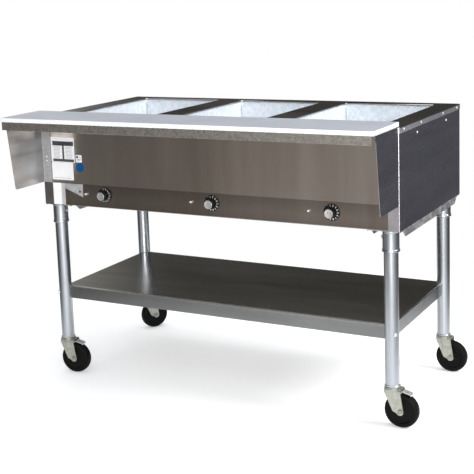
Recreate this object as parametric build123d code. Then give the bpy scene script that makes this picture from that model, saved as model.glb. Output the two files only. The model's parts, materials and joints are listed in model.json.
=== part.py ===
"""Mobile electric steam table with three open wells, a work board, an undershelf and four casters.

Build frame, in millimetres: X runs along the table from its middle, Y runs back from the front
face of the cabinet, Z is the height above the floor. The finished parts are moved together at the
end, so that the origin is the middle of the bottom of the whole table's bounding box.
"""
from build123d import *
from math import cos, radians, sin
import os

# Cabinet
BODY_W = 1219.2          # 48 in cabinet, over the side skirts of the top
BODY_D = 575.0
BODY_TOP = 867.0
BODY_BOTTOM = 576.5
SHEET = 1.2              # 18 gauge stainless steel
SKIRT_H = 17.0           # turned-down edge of the top sheet
RETURN_W = 34.0          # front and rear returns of the end panels
STRIP_H = 73.0           # height of the control strip below the front panel
STRIP_LAP = 8.0          # how far the strip runs up behind the front panel
STRIP_HEM = 20.0
PAN_EDGE_H = 12.0

# Wells for standard 12 x 20 in pans
WELL_PITCH = 389.0
WELL_X = (-WELL_PITCH, 0.0, WELL_PITCH)
WELL_W = 302.0
WELL_D = 505.0
WELL_Y = 277.5           # middle of the openings
WELL_DEPTH = 203.0
WELL_CORNER = 8.0
LIP_H = 6.0              # turned-down rim of each opening
LINER_SHEET = 0.9
LINER_GAP = 1.8          # between the rim of the opening and the liner
LINER_FLANGE = 11.0
LINER_CORNER = 12.0

# Heating elements, switches and wiring
ELEMENT_R = 4.0
ELEMENT_RUN = 360.0
ELEMENT_SPACING = 70.0
ELEMENT_DROP = 22.0      # centre of the element below the liner
CLIP_W = 200.0
CLIP_T = 2.0
KNOB_OFFSET = 17.0       # knob and pilot light against the middle of their well
LIGHT_OFFSET = -54.0
CONTROL_Z = BODY_BOTTOM + 42.0
SWITCH_BOX = (40.0, 34.0, 34.0)
SHAFT_R = 3.0
SHAFT_FIT = 0.05
SHAFT_DEPTH = 14.0
SKIRT_R = 25.0           # numbered skirt of the knob
SKIRT_T = 3.0
GRIP_R = 14.0
GRIP_L = 21.0
CAP_R = 12.0
CAP_T = 1.2
LIGHT_R = 5.0
BEZEL_R = 7.0
TERMINAL_BOX = (110.0, 70.0, 54.0)
TERMINAL_Y = 470.0
GLAND_X = -485.0
GLAND_Z = BODY_BOTTOM + 32
GLAND_R = 10.0
GLAND_BORE_R = 6.0
GLAND_L = 12.0

# Legs, sockets and channels
LEG_R = 41.3 / 2         # 1 5/8 in tube
LEG_WALL = 1.65
LEG_X = 571.0
LEG_FRONT_Y = 30.0
LEG_REAR_Y = 515.0
LEG_BOTTOM = 125.0
SOCKET_R = 25.4
SOCKET_FIT = 0.15
SOCKET_L = 61.0
SOCKET_CAP = 3.0
CHANNEL_W = 96.0
CHANNEL_T = 2.0
CHANNEL_H = 23.0
CHANNEL_END = 4.0        # web starts this far behind the front face
CHANNEL_FLANGE = 26.0    # flanges start this far behind the front face
CHANNEL_SLOPE = 28.0     # length of the sloped flange ends

# Undershelf
SHELF_TOP = 297.0
SHELF_APRON = 42.0
SHELF_FIT = 0.35         # round the legs
SHELF_BOLT_R = 3.2
SHELF_BOLT_HEAD_R = 6.0
SHELF_BOLT_DROP = 21.0

# Work shelf, its brackets and its board
WORK_DEPTH = 193.5
WORK_SHEET = 1.5
WORK_TOP = BODY_TOP + 3.3
WORK_INSET = 6.0
WORK_APRON = 25.0
WORK_HEM = 12.0
WORK_BACK = 15.0
WING_TOP_DEPTH = 173.0
WING_LOW_DEPTH = 145.0
WING_FLANGE = 36.0
WING_TAB = 25.0
WING_INSET = 3.0         # clear of the cabinet's rounded front corner
BOARD_DEPTH = 195.0
BOARD_T = 12.7           # 1/2 in
BOARD_R = 5.0

# Casters: 4 in wheel on a swivel fork
WHEEL_R = 50.8
WHEEL_W = 31.0
WHEEL_SHOULDER = 9.0
HUB_R = 15.0
HUB_W = 34.0
RIM_R = 37.0
DISH = 4.0               # how deep the side of the wheel is dished
TRAIL = 28.0
TRAIL_ANGLE = {"front_left": 5.0, "front_right": 0.0, "rear_left": 60.0, "rear_right": 0.0}
AXLE_R = 4.0
AXLE_FIT = 0.05
AXLE_HEAD_R = 7.0
AXLE_HEAD_T = 4.5
FORK_GAP = 35.0          # between the blades
FORK_T = 2.5
FORK_TOP = 115.0
FORK_PLATE_T = 4.0
FORK_DISC_R = 24.0
FORK_TIP_R = 11.0
FORK_TOE = 22.0          # how far a blade's foot reaches ahead of the axle
STEM_R = 6.0
STEM_FIT = 0.05
STEM_PLUG_R = 18.9
STEM_PLUG_L = 35.0
STEM_COLLAR_R = 21.5
STEM_RACE_R = 24.0
SWIVEL_GAP = 0.3
PEDAL_W = 26.0
PEDAL_T = 2.5
PEDAL_REACH = 38.0
PEDAL_DROP_ANGLE = 14.0
PEDAL_PIVOT = (28.0, 107.0)   # along the trail, and height
PEDAL_PIN_R = 2.0
PEDAL_BARREL_R = 3.5
PEDAL_PIN_FIT = 0.05

# Fasteners and plates
SCREW_R = 3.6
SCREW_T = 1.6
PLATE_T = 0.5

HALF_W = BODY_W / 2
PANEL_X = HALF_W - SHEET             # outer face of the end panels
TOP_UNDER = BODY_TOP - SHEET         # underside of the top sheet
CREASE_Z = BODY_BOTTOM + STRIP_H
LINER_FLOOR = TOP_UNDER - WELL_DEPTH
FRONT_FACE = SHEET                   # front panel's outer face, behind the end returns
STRIP_FACE = 2 * SHEET               # control strip's outer face
CORNERS = {
    "front_left": (-LEG_X, LEG_FRONT_Y),
    "front_right": (LEG_X, LEG_FRONT_Y),
    "rear_left": (-LEG_X, LEG_REAR_Y),
    "rear_right": (LEG_X, LEG_REAR_Y),
}
BRAKED = ("front_left", "front_right")


def block(x_span, y_span, z_span):
    """Box between pairs of coordinates."""
    size = (x_span[1] - x_span[0], y_span[1] - y_span[0], z_span[1] - z_span[0])
    low = Align.MIN
    return Pos(x_span[0], y_span[0], z_span[0]) * Box(*size, align=(low, low, low))


def rod(start, direction, radius, length):
    """Cylinder from a point along a direction."""
    plane = Plane(origin=start, z_dir=direction)
    return plane * Cylinder(radius, length, align=(Align.CENTER, Align.CENTER, Align.MIN))


def upright(width, depth, radius, z_low, height, centre):
    """Vertical prism on a rounded rectangle."""
    outline = Pos(centre[0], centre[1], z_low) * RectangleRounded(width, depth, radius)
    return extrude(outline, height)


def side_plate(points, x_low, thickness):
    """Flat plate with a polygon outline given as (y, z) points."""
    plane = Plane(origin=(x_low, 0, 0), x_dir=(0, 1, 0), z_dir=(1, 0, 0))
    return extrude(plane * Polygon(*points, align=None), thickness, dir=(1, 0, 0))


def front_plate(points, y_front, thickness):
    """Flat plate with a polygon outline given as (x, z) points."""
    plane = Plane(origin=(0, y_front, 0), x_dir=(1, 0, 0), z_dir=(0, -1, 0))
    return extrude(plane * Polygon(*points, align=None), thickness, dir=(0, 1, 0))


def group(solids):
    """Several separate solids in one node."""
    return Compound(list(solids))


# ------------------------------------------------------------------ cabinet

def top_sheet():
    sheet = block((-HALF_W, HALF_W), (0, BODY_D), (TOP_UNDER, BODY_TOP))
    skirt_z = (BODY_TOP - SKIRT_H, TOP_UNDER)
    for side in (-1, 1):
        edge = sorted((side * HALF_W, side * PANEL_X))
        sheet += block(edge, (0, BODY_D), skirt_z)
    sheet += block((-PANEL_X, PANEL_X), (BODY_D - SHEET, BODY_D), skirt_z)
    for x in WELL_X:
        rim_size = (WELL_W + 2 * SHEET, WELL_D + 2 * SHEET, WELL_CORNER + SHEET)
        sheet += upright(*rim_size, BODY_TOP - LIP_H, LIP_H - SHEET / 2, (x, WELL_Y))
    for x in WELL_X:
        hole_low = BODY_TOP - 2 * LIP_H
        sheet -= upright(WELL_W, WELL_D, WELL_CORNER, hole_low, 3 * LIP_H, (x, WELL_Y))
    return sheet


def end_panel(side):
    inner = PANEL_X - SHEET
    back = BODY_D - SHEET
    z_span = (BODY_BOTTOM, TOP_UNDER)
    panel = block(sorted((side * inner, side * PANEL_X)), (0, back), z_span)
    return_x = sorted((side * (PANEL_X - RETURN_W), side * inner))
    panel += block(return_x, (0, SHEET), z_span)
    panel += block(return_x, (back - 2 * SHEET, back - SHEET), z_span)
    return panel


def front_panel():
    half = PANEL_X - SHEET
    panel = block((-half, half), (FRONT_FACE, FRONT_FACE + SHEET), (CREASE_Z, TOP_UNDER))
    hem_z = (TOP_UNDER - SHEET, TOP_UNDER)
    panel += block((-half, half), (FRONT_FACE + SHEET, FRONT_FACE + 6 * SHEET), hem_z)
    return panel


def control_panel():
    half = PANEL_X - SHEET
    strip_top = CREASE_Z + STRIP_LAP
    panel = block((-half, half), (STRIP_FACE, STRIP_FACE + SHEET), (BODY_BOTTOM, strip_top))
    panel += block((-half, half), (STRIP_FACE, STRIP_HEM), (BODY_BOTTOM, BODY_BOTTOM + SHEET))
    for x in WELL_X:
        panel -= rod((x + KNOB_OFFSET, 0, CONTROL_Z), (0, 1, 0), SHAFT_R + 2, STRIP_HEM)
        panel -= rod((x + LIGHT_OFFSET, 0, CONTROL_Z), (0, 1, 0), LIGHT_R, STRIP_HEM)
    return panel


def rear_panel():
    half = PANEL_X - SHEET
    face = BODY_D - SHEET
    panel = block((-half, half), (face - SHEET, face), (BODY_BOTTOM, TOP_UNDER))
    return panel - rod((GLAND_X, 0, GLAND_Z), (0, 1, 0), GLAND_R, 2 * BODY_D)


def bottom_pan():
    half = PANEL_X - SHEET
    back = BODY_D - 3 * SHEET
    outer = block((-half, half), (STRIP_HEM, back), (BODY_BOTTOM, BODY_BOTTOM + PAN_EDGE_H))
    inner = block((-half + SHEET, half - SHEET), (STRIP_HEM + SHEET, back - SHEET),
                  (BODY_BOTTOM + SHEET, BODY_BOTTOM + 2 * PAN_EDGE_H))
    return outer - inner


def well_liner(x):
    inner_w = WELL_W + 2 * (SHEET + LINER_GAP)
    inner_d = WELL_D + 2 * (SHEET + LINER_GAP)
    middle = (x, WELL_Y)
    wall = 2 * LINER_SHEET
    brim = 2 * (LINER_SHEET + LINER_FLANGE)
    liner = upright(inner_w + wall, inner_d + wall, LINER_CORNER + LINER_SHEET,
                    LINER_FLOOR, WELL_DEPTH, middle)
    liner += upright(inner_w + brim, inner_d + brim, LINER_CORNER,
                     TOP_UNDER - LINER_SHEET, LINER_SHEET, middle)
    cavity_floor = LINER_FLOOR + LINER_SHEET
    return liner - upright(inner_w, inner_d, LINER_CORNER, cavity_floor, 2 * WELL_DEPTH, middle)


def heating_element(x):
    """Tube bent twice into three long runs under the well."""
    z = LINER_FLOOR - ELEMENT_DROP
    low_y = WELL_Y - ELEMENT_RUN / 2
    high_y = WELL_Y + ELEMENT_RUN / 2
    bend = ELEMENT_SPACING / 2
    left, right = x - ELEMENT_SPACING, x + ELEMENT_SPACING
    route = Wire([
        Line((left, low_y, z), (left, high_y, z)),
        ThreePointArc((left, high_y, z), (left + bend, high_y + bend, z), (x, high_y, z)),
        Line((x, high_y, z), (x, low_y, z)),
        ThreePointArc((x, low_y, z), (x + bend, low_y - bend, z), (right, low_y, z)),
        Line((right, low_y, z), (right, high_y, z)),
    ])
    start = Plane(origin=(left, low_y, z), z_dir=(0, 1, 0))
    return sweep(start * Circle(ELEMENT_R), path=route)


def element_brackets():
    """Two upright angle strips per well, standing on the bottom pan and carrying the element."""
    floor = BODY_BOTTOM + SHEET
    seat = LINER_FLOOR - ELEMENT_DROP - ELEMENT_R
    solids = []
    for x in WELL_X:
        for y in (WELL_Y - ELEMENT_RUN / 3, WELL_Y + ELEMENT_RUN / 3):
            x_span = (x - CLIP_W / 2, x + CLIP_W / 2)
            strip = block(x_span, (y, y + CLIP_T), (floor, seat))
            strip += block(x_span, (y, y + 5 * CLIP_T), (floor, floor + CLIP_T))
            solids.append(strip)
    return group(solids)


def infinite_switch(x):
    width, depth, height = SWITCH_BOX
    centre_x = x + KNOB_OFFSET
    y_front = STRIP_FACE + SHEET
    body = block((centre_x - width / 2, centre_x + width / 2), (y_front, y_front + depth),
                 (CONTROL_Z - height / 2, CONTROL_Z + height / 2))
    bore = (centre_x, y_front, CONTROL_Z)
    return body - rod(bore, (0, 1, 0), SHAFT_R + SHAFT_FIT, SHAFT_DEPTH + 1)


def knob(x):
    """Numbered skirt, tapered fluted grip and shaft in one moulding, with a seat for the cap."""
    centre_x = x + KNOB_OFFSET
    back = STRIP_FACE - 0.5
    shaft_end = STRIP_FACE + SHEET + SHAFT_DEPTH
    face = back - SKIRT_T
    body = rod((centre_x, back, CONTROL_Z), (0, -1, 0), SKIRT_R, SKIRT_T)
    front_edge = body.edges().filter_by(GeomType.CIRCLE).sort_by(Axis.Y)[0]
    body = chamfer(front_edge, SKIRT_T / 3)
    grip_plane = Plane(origin=(centre_x, face, CONTROL_Z), z_dir=(0, -1, 0))
    grip_align = (Align.CENTER, Align.CENTER, Align.MIN)
    body += grip_plane * Cone(GRIP_R, GRIP_R - 0.8, GRIP_L, align=grip_align)
    body += rod((centre_x, back, CONTROL_Z), (0, 1, 0), SHAFT_R, shaft_end - back)
    return body - rod((centre_x, face - GRIP_L + CAP_T, CONTROL_Z), (0, -1, 0), CAP_R, CAP_T)


def knob_cap(x):
    """Bright disc let into the end of the grip, level with its rim."""
    seat = STRIP_FACE - 0.5 - SKIRT_T - GRIP_L + CAP_T
    return rod((x + KNOB_OFFSET, seat, CONTROL_Z), (0, -1, 0), CAP_R, CAP_T)


def pilot_lights():
    solids = []
    for x in WELL_X:
        centre = (x + LIGHT_OFFSET, STRIP_FACE, CONTROL_Z)
        light = rod(centre, (0, -1, 0), BEZEL_R, 2.0)
        light += rod(centre, (0, -1, 0), LIGHT_R, 9.0)
        light += rod(centre, (0, 1, 0), LIGHT_R, 22.0)
        solids.append(light)
    return group(solids)


def insulation():
    """Glass-fibre boards that stand between the wells and beside the end ones."""
    floor = BODY_BOTTOM + SHEET
    half_liner = WELL_W / 2 + SHEET + LINER_GAP + LINER_SHEET
    board = 22.0
    y_span = (WELL_Y - WELL_D / 2, WELL_Y + WELL_D / 2)
    z_span = (floor, TOP_UNDER - 4 * LINER_GAP)
    middles = [(WELL_X[0] + WELL_X[1]) / 2, (WELL_X[1] + WELL_X[2]) / 2]
    end_gap = (PANEL_X - SHEET - SHEET + WELL_X[2] + half_liner) / 2
    middles += [-end_gap, end_gap]
    return group(block((m - board / 2, m + board / 2), y_span, z_span) for m in middles)


def terminal_box():
    """Closed box on the bottom pan where the supply meets the switch wiring."""
    width, depth, height = TERMINAL_BOX
    x_low, y_low, z_low = GLAND_X - width / 2, TERMINAL_Y, BODY_BOTTOM + SHEET
    outer = block((x_low, x_low + width), (y_low, y_low + depth), (z_low, z_low + height))
    x_span = (x_low + SHEET, x_low + width - SHEET)
    y_span = (y_low + SHEET, y_low + depth - SHEET)
    return outer - block(x_span, y_span, (z_low + SHEET, z_low + height - SHEET))


def cord_gland():
    """Strain relief through the rear panel, behind the terminal box."""
    face = BODY_D - SHEET
    inner_end = face - SHEET - GLAND_L
    body = rod((GLAND_X, inner_end, GLAND_Z), (0, 1, 0), GLAND_R, GLAND_L + SHEET)
    body += rod((GLAND_X, face, GLAND_Z), (0, 1, 0), GLAND_R + 5, GLAND_L / 2)
    body += rod((GLAND_X, face, GLAND_Z), (0, 1, 0), GLAND_R + 2, 1.6 * GLAND_L)
    return body - rod((GLAND_X, inner_end, GLAND_Z), (0, 1, 0), GLAND_BORE_R, 4 * GLAND_L)


# ------------------------------------------------------------------ work shelf

def bracket(side):
    """End bracket: a tapered wing, a flange on the cabinet and a tab under the shelf."""
    outer = HALF_W - WING_INSET
    inner = outer - WORK_SHEET
    face = sorted((side * inner, side * outer))
    top = WORK_TOP - WORK_SHEET
    outline = [(0, CREASE_Z), (-WING_LOW_DEPTH, CREASE_Z), (-WING_TOP_DEPTH, top), (0, top)]
    wing = side_plate(outline, face[0], WORK_SHEET)
    flange_x = sorted((side * (HALF_W - WING_FLANGE), side * inner))
    wing += block(flange_x, (-WORK_SHEET, 0), (CREASE_Z, top))
    tab_x = sorted((side * (HALF_W - WING_TAB), side * inner))
    wing += block(tab_x, (-WING_TOP_DEPTH, 0), (top - WORK_SHEET, top))
    return wing


def work_shelf():
    half = HALF_W - WORK_INSET
    sheet = block((-half, half), (-WORK_DEPTH, 0), (WORK_TOP - WORK_SHEET, WORK_TOP))
    low = WORK_TOP - WORK_APRON
    sheet += block((-half, half), (-WORK_DEPTH, WORK_SHEET - WORK_DEPTH), (low, WORK_TOP))
    sheet += block((-half, half), (-WORK_DEPTH, WORK_HEM - WORK_DEPTH), (low, low + WORK_SHEET))
    back_half = HALF_W - WING_FLANGE - 1
    sheet += block((-back_half, back_half), (-WORK_SHEET, 0), (WORK_TOP - WORK_BACK, WORK_TOP))
    return sheet


def cutting_board():
    board = upright(BODY_W, BOARD_DEPTH, BOARD_R, WORK_TOP, BOARD_T, (0, -BOARD_DEPTH / 2))
    rims = board.edges().filter_by(Plane.XY)
    return fillet(rims, 1.5)


# ------------------------------------------------------------------ legs and undershelf

def leg_channel(side):
    """Inverted channel under the cabinet, with sloped flange ends."""
    x_in = side * (HALF_W - 3 - CHANNEL_W)
    x_out = side * (HALF_W - 3)
    low = BODY_BOTTOM - CHANNEL_H
    web_y = (CHANNEL_END, BODY_D - CHANNEL_END)
    channel = block(sorted((x_in, x_out)), web_y, (BODY_BOTTOM - CHANNEL_T, BODY_BOTTOM))
    start = CHANNEL_FLANGE
    stop = BODY_D - CHANNEL_FLANGE
    outline = [(start, BODY_BOTTOM), (start + CHANNEL_SLOPE, low),
               (stop - CHANNEL_SLOPE, low), (stop, BODY_BOTTOM)]
    x_low, x_high = sorted((x_in, x_out))
    for x in (x_low, x_high - CHANNEL_T):
        channel += side_plate(outline, x, CHANNEL_T)
    return channel


def leg_sockets():
    top = BODY_BOTTOM - CHANNEL_T
    solids = []
    for x, y in CORNERS.values():
        socket = rod((x, y, top), (0, 0, -1), SOCKET_R, SOCKET_L)
        socket -= rod((x, y, top - SOCKET_CAP), (0, 0, -1), LEG_R + SOCKET_FIT, SOCKET_L)
        inward = -1 if x > 0 else 1
        socket -= rod((x, y, screw_height()), (inward, 0, 0), SHAFT_R, 2 * SOCKET_R)
        solids.append(socket)
    return group(solids)


def screw_height():
    return BODY_BOTTOM - 24.0


def socket_screws():
    """Set screws on the inner sides of the sockets, each with its point on the leg."""
    solids = []
    for x, y in CORNERS.values():
        inward = -1 if x > 0 else 1
        start = (x + inward * LEG_R, y, screw_height())
        screw = rod(start, (inward, 0, 0), SHAFT_R, SOCKET_R - LEG_R)
        head = (x + inward * SOCKET_R, y, screw_height())
        screw += rod(head, (inward, 0, 0), SHAFT_R + 1.5, 3.0)
        solids.append(screw)
    return group(solids)


def diagonal(x, y):
    """Unit direction from the middle of the undershelf out through a leg."""
    half = 0.5 ** 0.5
    across = half if x > 0 else -half
    back = half if y > WELL_Y else -half
    return across, back


def leg(x, y):
    top = BODY_BOTTOM - CHANNEL_T - SOCKET_CAP
    tube = rod((x, y, LEG_BOTTOM), (0, 0, 1), LEG_R, top - LEG_BOTTOM)
    tube -= rod((x, y, LEG_BOTTOM), (0, 0, 1), LEG_R - LEG_WALL, top - LEG_BOTTOM)
    out_x, out_y = diagonal(x, y)
    start = (x - 2 * LEG_R * out_x, y - 2 * LEG_R * out_y, SHELF_TOP - SHELF_BOLT_DROP)
    return tube - rod(start, (out_x, out_y, 0), SHELF_BOLT_R + 0.1, 4 * LEG_R)


def undershelf():
    """Flat shelf with turned-down edges on the leg centre lines and round clearances at the legs."""
    x_half = LEG_X
    low = SHELF_TOP - SHELF_APRON
    tray = block((-x_half, x_half), (LEG_FRONT_Y, LEG_REAR_Y), (low, SHELF_TOP))
    inner = block((SHEET - x_half, x_half - SHEET), (LEG_FRONT_Y + SHEET, LEG_REAR_Y - SHEET),
                  (low - 1, SHELF_TOP - SHEET))
    for x, y in CORNERS.values():
        tray -= rod((x, y, low - 1), (0, 0, 1), LEG_R + SHELF_FIT, SHELF_APRON + 2)
        inner -= rod((x, y, low - 2), (0, 0, 1), LEG_R + SHELF_FIT + SHEET, SHELF_APRON + 4)
    tray -= inner
    for x, y in CORNERS.values():
        out_x, out_y = diagonal(x, y)
        start = (x - 2 * LEG_R * out_x, y - 2 * LEG_R * out_y, SHELF_TOP - SHELF_BOLT_DROP)
        tray -= rod(start, (out_x, out_y, 0), SHELF_BOLT_R + 0.1, 2 * LEG_R)
    return tray


def undershelf_bolts():
    """Bolts through the legs along the diagonals, each with a nut inside the shelf's corner."""
    z = SHELF_TOP - SHELF_BOLT_DROP
    solids = []
    for x, y in CORNERS.values():
        out_x, out_y = diagonal(x, y)
        inside = LEG_R + SHELF_FIT + SHEET
        nut_t = 5.0
        start = (x - (inside + nut_t) * out_x, y - (inside + nut_t) * out_y, z)
        direction = (out_x, out_y, 0)
        bolt = rod(start, direction, SHELF_BOLT_R, inside + nut_t + LEG_R)
        bolt += rod(start, direction, SHELF_BOLT_HEAD_R, nut_t - 0.6)
        head = (x + (LEG_R + 0.2) * out_x, y + (LEG_R + 0.2) * out_y, z)
        bolt += rod(head, direction, SHELF_BOLT_HEAD_R, 3.5)
        bolt += rod((x + (LEG_R - 1) * out_x, y + (LEG_R - 1) * out_y, z), direction, SHELF_BOLT_R, 2)
        solids.append(bolt)
    return group(solids)


# ------------------------------------------------------------------ casters

def caster_stems():
    """Plug in the foot of each leg, with a collar, a fixed ball race and the swivel pin."""
    plate_low = FORK_TOP - FORK_PLATE_T
    solids = []
    for x, y in CORNERS.values():
        race_low = FORK_TOP + SWIVEL_GAP
        race_top = race_low + (LEG_BOTTOM - race_low) / 2
        stem = rod((x, y, LEG_BOTTOM), (0, 0, 1), STEM_PLUG_R, STEM_PLUG_L)
        stem += rod((x, y, race_top), (0, 0, 1), STEM_COLLAR_R, LEG_BOTTOM - race_top)
        stem += rod((x, y, race_low), (0, 0, 1), STEM_RACE_R, race_top - race_low)
        pin_low = plate_low - SWIVEL_GAP - 3
        stem += rod((x, y, pin_low), (0, 0, 1), STEM_R, race_low - pin_low)
        stem += rod((x, y, pin_low), (0, 0, 1), STEM_R + 3, 3)
        solids.append(stem)
    return group(solids)


def place_caster(name, shape):
    """Turn a caster part made at the origin to its trail angle and put it under its leg."""
    x, y = CORNERS[name]
    return Pos(x, y, 0) * Rot(0, 0, TRAIL_ANGLE[name]) * shape


def fork():
    """Swivel plate and two blades that lean back to the axle, made with the trail along X."""
    plate_low = FORK_TOP - FORK_PLATE_T
    outer = FORK_GAP / 2 + FORK_T
    body = rod((0, 0, plate_low), (0, 0, 1), FORK_DISC_R, FORK_PLATE_T)
    body += block((-16, TRAIL - 2), (-outer, outer), (plate_low, FORK_TOP))
    plane = Plane(origin=(0, -outer, 0), x_dir=(1, 0, 0), z_dir=(0, -1, 0))
    axle_z = WHEEL_R
    outline = [(-17, FORK_TOP), (-19, plate_low - 6), (TRAIL - FORK_TOE, axle_z - 1),
               (TRAIL - 3, axle_z - FORK_TIP_R + 1), (TRAIL + FORK_TIP_R - 1, axle_z),
               (TRAIL + 1, FORK_TOP)]
    blade = extrude(plane * Polygon(*outline, align=None), FORK_T, dir=(0, 1, 0))
    blade += rod((TRAIL, -outer, axle_z), (0, 1, 0), FORK_TIP_R, FORK_T)
    for shift in (0, FORK_GAP + FORK_T):
        body += Pos(0, shift, 0) * blade
    body -= rod((0, 0, plate_low - 1), (0, 0, 1), STEM_R + STEM_FIT, FORK_PLATE_T + 2)
    return body - rod((TRAIL, -2 * outer, axle_z), (0, 1, 0), AXLE_R, 4 * outer)


def pedal_fork():
    """Fork with two lugs and a riveted pin for the brake pedal on its trailing side."""
    pivot_x, pivot_z = PEDAL_PIVOT
    half = PEDAL_W / 2
    body = fork()
    for side in (-1, 1):
        y_span = sorted((side * (half + 0.3), side * (half + 3.0)))
        lug = block((TRAIL - 10, pivot_x + 5), y_span, (pivot_z - 2, FORK_TOP - FORK_PLATE_T))
        lug += rod((pivot_x, y_span[0], pivot_z), (0, 1, 0), 4.0, y_span[1] - y_span[0])
        body += lug
    return body + rod((pivot_x, -half - 1, pivot_z), (0, 1, 0), PEDAL_PIN_R, PEDAL_W + 2)


def brake_pedal():
    """Tread plate that leans down over the wheel from a barrel on the fork's pin."""
    pivot_x, pivot_z = PEDAL_PIVOT
    half = PEDAL_W / 2
    barrel = rod((pivot_x, -half, pivot_z), (0, 1, 0), PEDAL_BARREL_R, PEDAL_W)
    plate_z = (PEDAL_BARREL_R - PEDAL_T, PEDAL_BARREL_R)
    plate = block((0, PEDAL_REACH), (-half, half), plate_z)
    lip = block((PEDAL_REACH - PEDAL_T, PEDAL_REACH), (-half, half), (-PEDAL_T, plate_z[1]))
    tread = Rot(0, PEDAL_DROP_ANGLE, 0) * (plate + lip)
    pedal = barrel + Pos(pivot_x, 0, pivot_z) * tread
    pin_r = PEDAL_PIN_R + PEDAL_PIN_FIT
    return pedal - rod((pivot_x, -half - 1, pivot_z), (0, 1, 0), pin_r, PEDAL_W + 2)


def axle():
    outer = FORK_GAP / 2 + FORK_T
    pin = rod((TRAIL, -outer, WHEEL_R), (0, 1, 0), AXLE_R, 2 * outer)
    for side in (-1, 1):
        pin += rod((TRAIL, side * outer, WHEEL_R), (0, side, 0), AXLE_HEAD_R, AXLE_HEAD_T)
    return pin


def wheel():
    """Dished wheel with a rounded tread, turned about the axle."""
    half = WHEEL_W / 2
    shoulder = WHEEL_R - WHEEL_SHOULDER
    bore = AXLE_R + AXLE_FIT
    outline = Polyline(
        (bore, HUB_W / 2), (HUB_R, HUB_W / 2), (HUB_R, half - DISH), (RIM_R, half - DISH),
        (RIM_R, half), (shoulder, half))
    top_arc = ThreePointArc((shoulder, half), (WHEEL_R, 0), (shoulder, -half))
    back = Polyline(
        (shoulder, -half), (RIM_R, -half), (RIM_R, DISH - half), (HUB_R, DISH - half),
        (HUB_R, -HUB_W / 2), (bore, -HUB_W / 2), (bore, HUB_W / 2))
    profile = make_face([outline, top_arc, back])
    turned = revolve(profile, axis=Axis.Y)
    return Pos(TRAIL, 0, WHEEL_R) * turned


# ------------------------------------------------------------------ fasteners and plates

def screw_on(point, direction):
    """Pan-head screw head standing on a sheet."""
    return rod(point, direction, SCREW_R, SCREW_T)


def cabinet_screws():
    """Screws of the top's skirts, the end and rear panels and the shelf brackets."""
    solids = []
    skirt_z = BODY_TOP - 8.5
    for side in (-1, 1):
        for y in (39, 187, 393, 539):
            solids.append(screw_on((side * HALF_W, y, skirt_z), (side, 0, 0)))
        for y in (155, 428):
            solids.append(screw_on((side * PANEL_X, y, BODY_TOP - 33.5), (side, 0, 0)))
        for z in (BODY_BOTTOM + 144, BODY_BOTTOM + 157):
            solids.append(screw_on((side * (HALF_W - 19.5), -WORK_SHEET, z), (0, -1, 0)))
    for x in (-560, -190, 190, 560):
        solids.append(screw_on((x, BODY_D, skirt_z), (0, 1, 0)))
        solids.append(screw_on((x, BODY_D - SHEET, BODY_BOTTOM + 14), (0, 1, 0)))
    return group(solids)


def plate_points(x_low, x_high, z_low, z_high):
    """Rectangle given from the left end and the bottom of the cabinet."""
    left, right = x_low - HALF_W, x_high - HALF_W
    low, high = z_low + BODY_BOTTOM, z_high + BODY_BOTTOM
    return [(left, low), (right, low), (right, high), (left, high)]


def blank_plates():
    """Blank rating plates and round seal on the front panel."""
    solids = [
        front_plate(plate_points(37, 129, 141, 222), FRONT_FACE - PLATE_T, PLATE_T),
        front_plate(plate_points(37, 121, 83, 140), FRONT_FACE - PLATE_T, PLATE_T),
        front_plate(plate_points(133, 156, 143, 167), FRONT_FACE - PLATE_T, PLATE_T),
    ]
    seal_x = 148 - HALF_W
    solids.append(rod((seal_x, FRONT_FACE, BODY_BOTTOM + 127), (0, -1, 0), 15.0, PLATE_T))
    return group(solids)


def corner_cover():
    """Bright cover strip over the wiring at the left end of the control strip."""
    strip = front_plate(plate_points(36, 83, 1, 72), STRIP_FACE - 1, 1)
    return strip


def corner_tab():
    """Cut-off tab beside the cover strip, with its screw."""
    outline = [(84, 72), (154, 72), (153, 30), (84, 56)]
    points = [(x - HALF_W, z + BODY_BOTTOM) for x, z in outline]
    tab = front_plate(points, STRIP_FACE - 1, 1)
    return tab + screw_on((142 - HALF_W, STRIP_FACE - 1, BODY_BOTTOM + 48), (0, -1, 0))


# ------------------------------------------------------------------ assembly

nodes = {
    "top_sheet": top_sheet(),
    "left_end_panel": end_panel(-1),
    "right_end_panel": end_panel(1),
    "front_panel": front_panel(),
    "control_panel": control_panel(),
    "rear_panel": rear_panel(),
    "bottom_pan": bottom_pan(),
    "insulation_boards": insulation(),
    "element_brackets": element_brackets(),
    "terminal_box": terminal_box(),
    "cord_gland": cord_gland(),
    "pilot_lights": pilot_lights(),
    "left_bracket": bracket(-1),
    "right_bracket": bracket(1),
    "work_shelf": work_shelf(),
    "cutting_board": cutting_board(),
    "left_leg_channel": leg_channel(-1),
    "right_leg_channel": leg_channel(1),
    "leg_sockets": leg_sockets(),
    "socket_screws": socket_screws(),
    "undershelf": undershelf(),
    "undershelf_bolts": undershelf_bolts(),
    "caster_stems": caster_stems(),
    "cabinet_screws": cabinet_screws(),
    "blank_plates": blank_plates(),
    "corner_cover": corner_cover(),
    "corner_tab": corner_tab(),
}
for number, well_x in enumerate(WELL_X, start=1):
    nodes[f"well_liner_{number}"] = well_liner(well_x)
    nodes[f"heating_element_{number}"] = heating_element(well_x)
    nodes[f"infinite_switch_{number}"] = infinite_switch(well_x)
    nodes[f"knob_{number}"] = knob(well_x)
    nodes[f"knob_cap_{number}"] = knob_cap(well_x)
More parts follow.
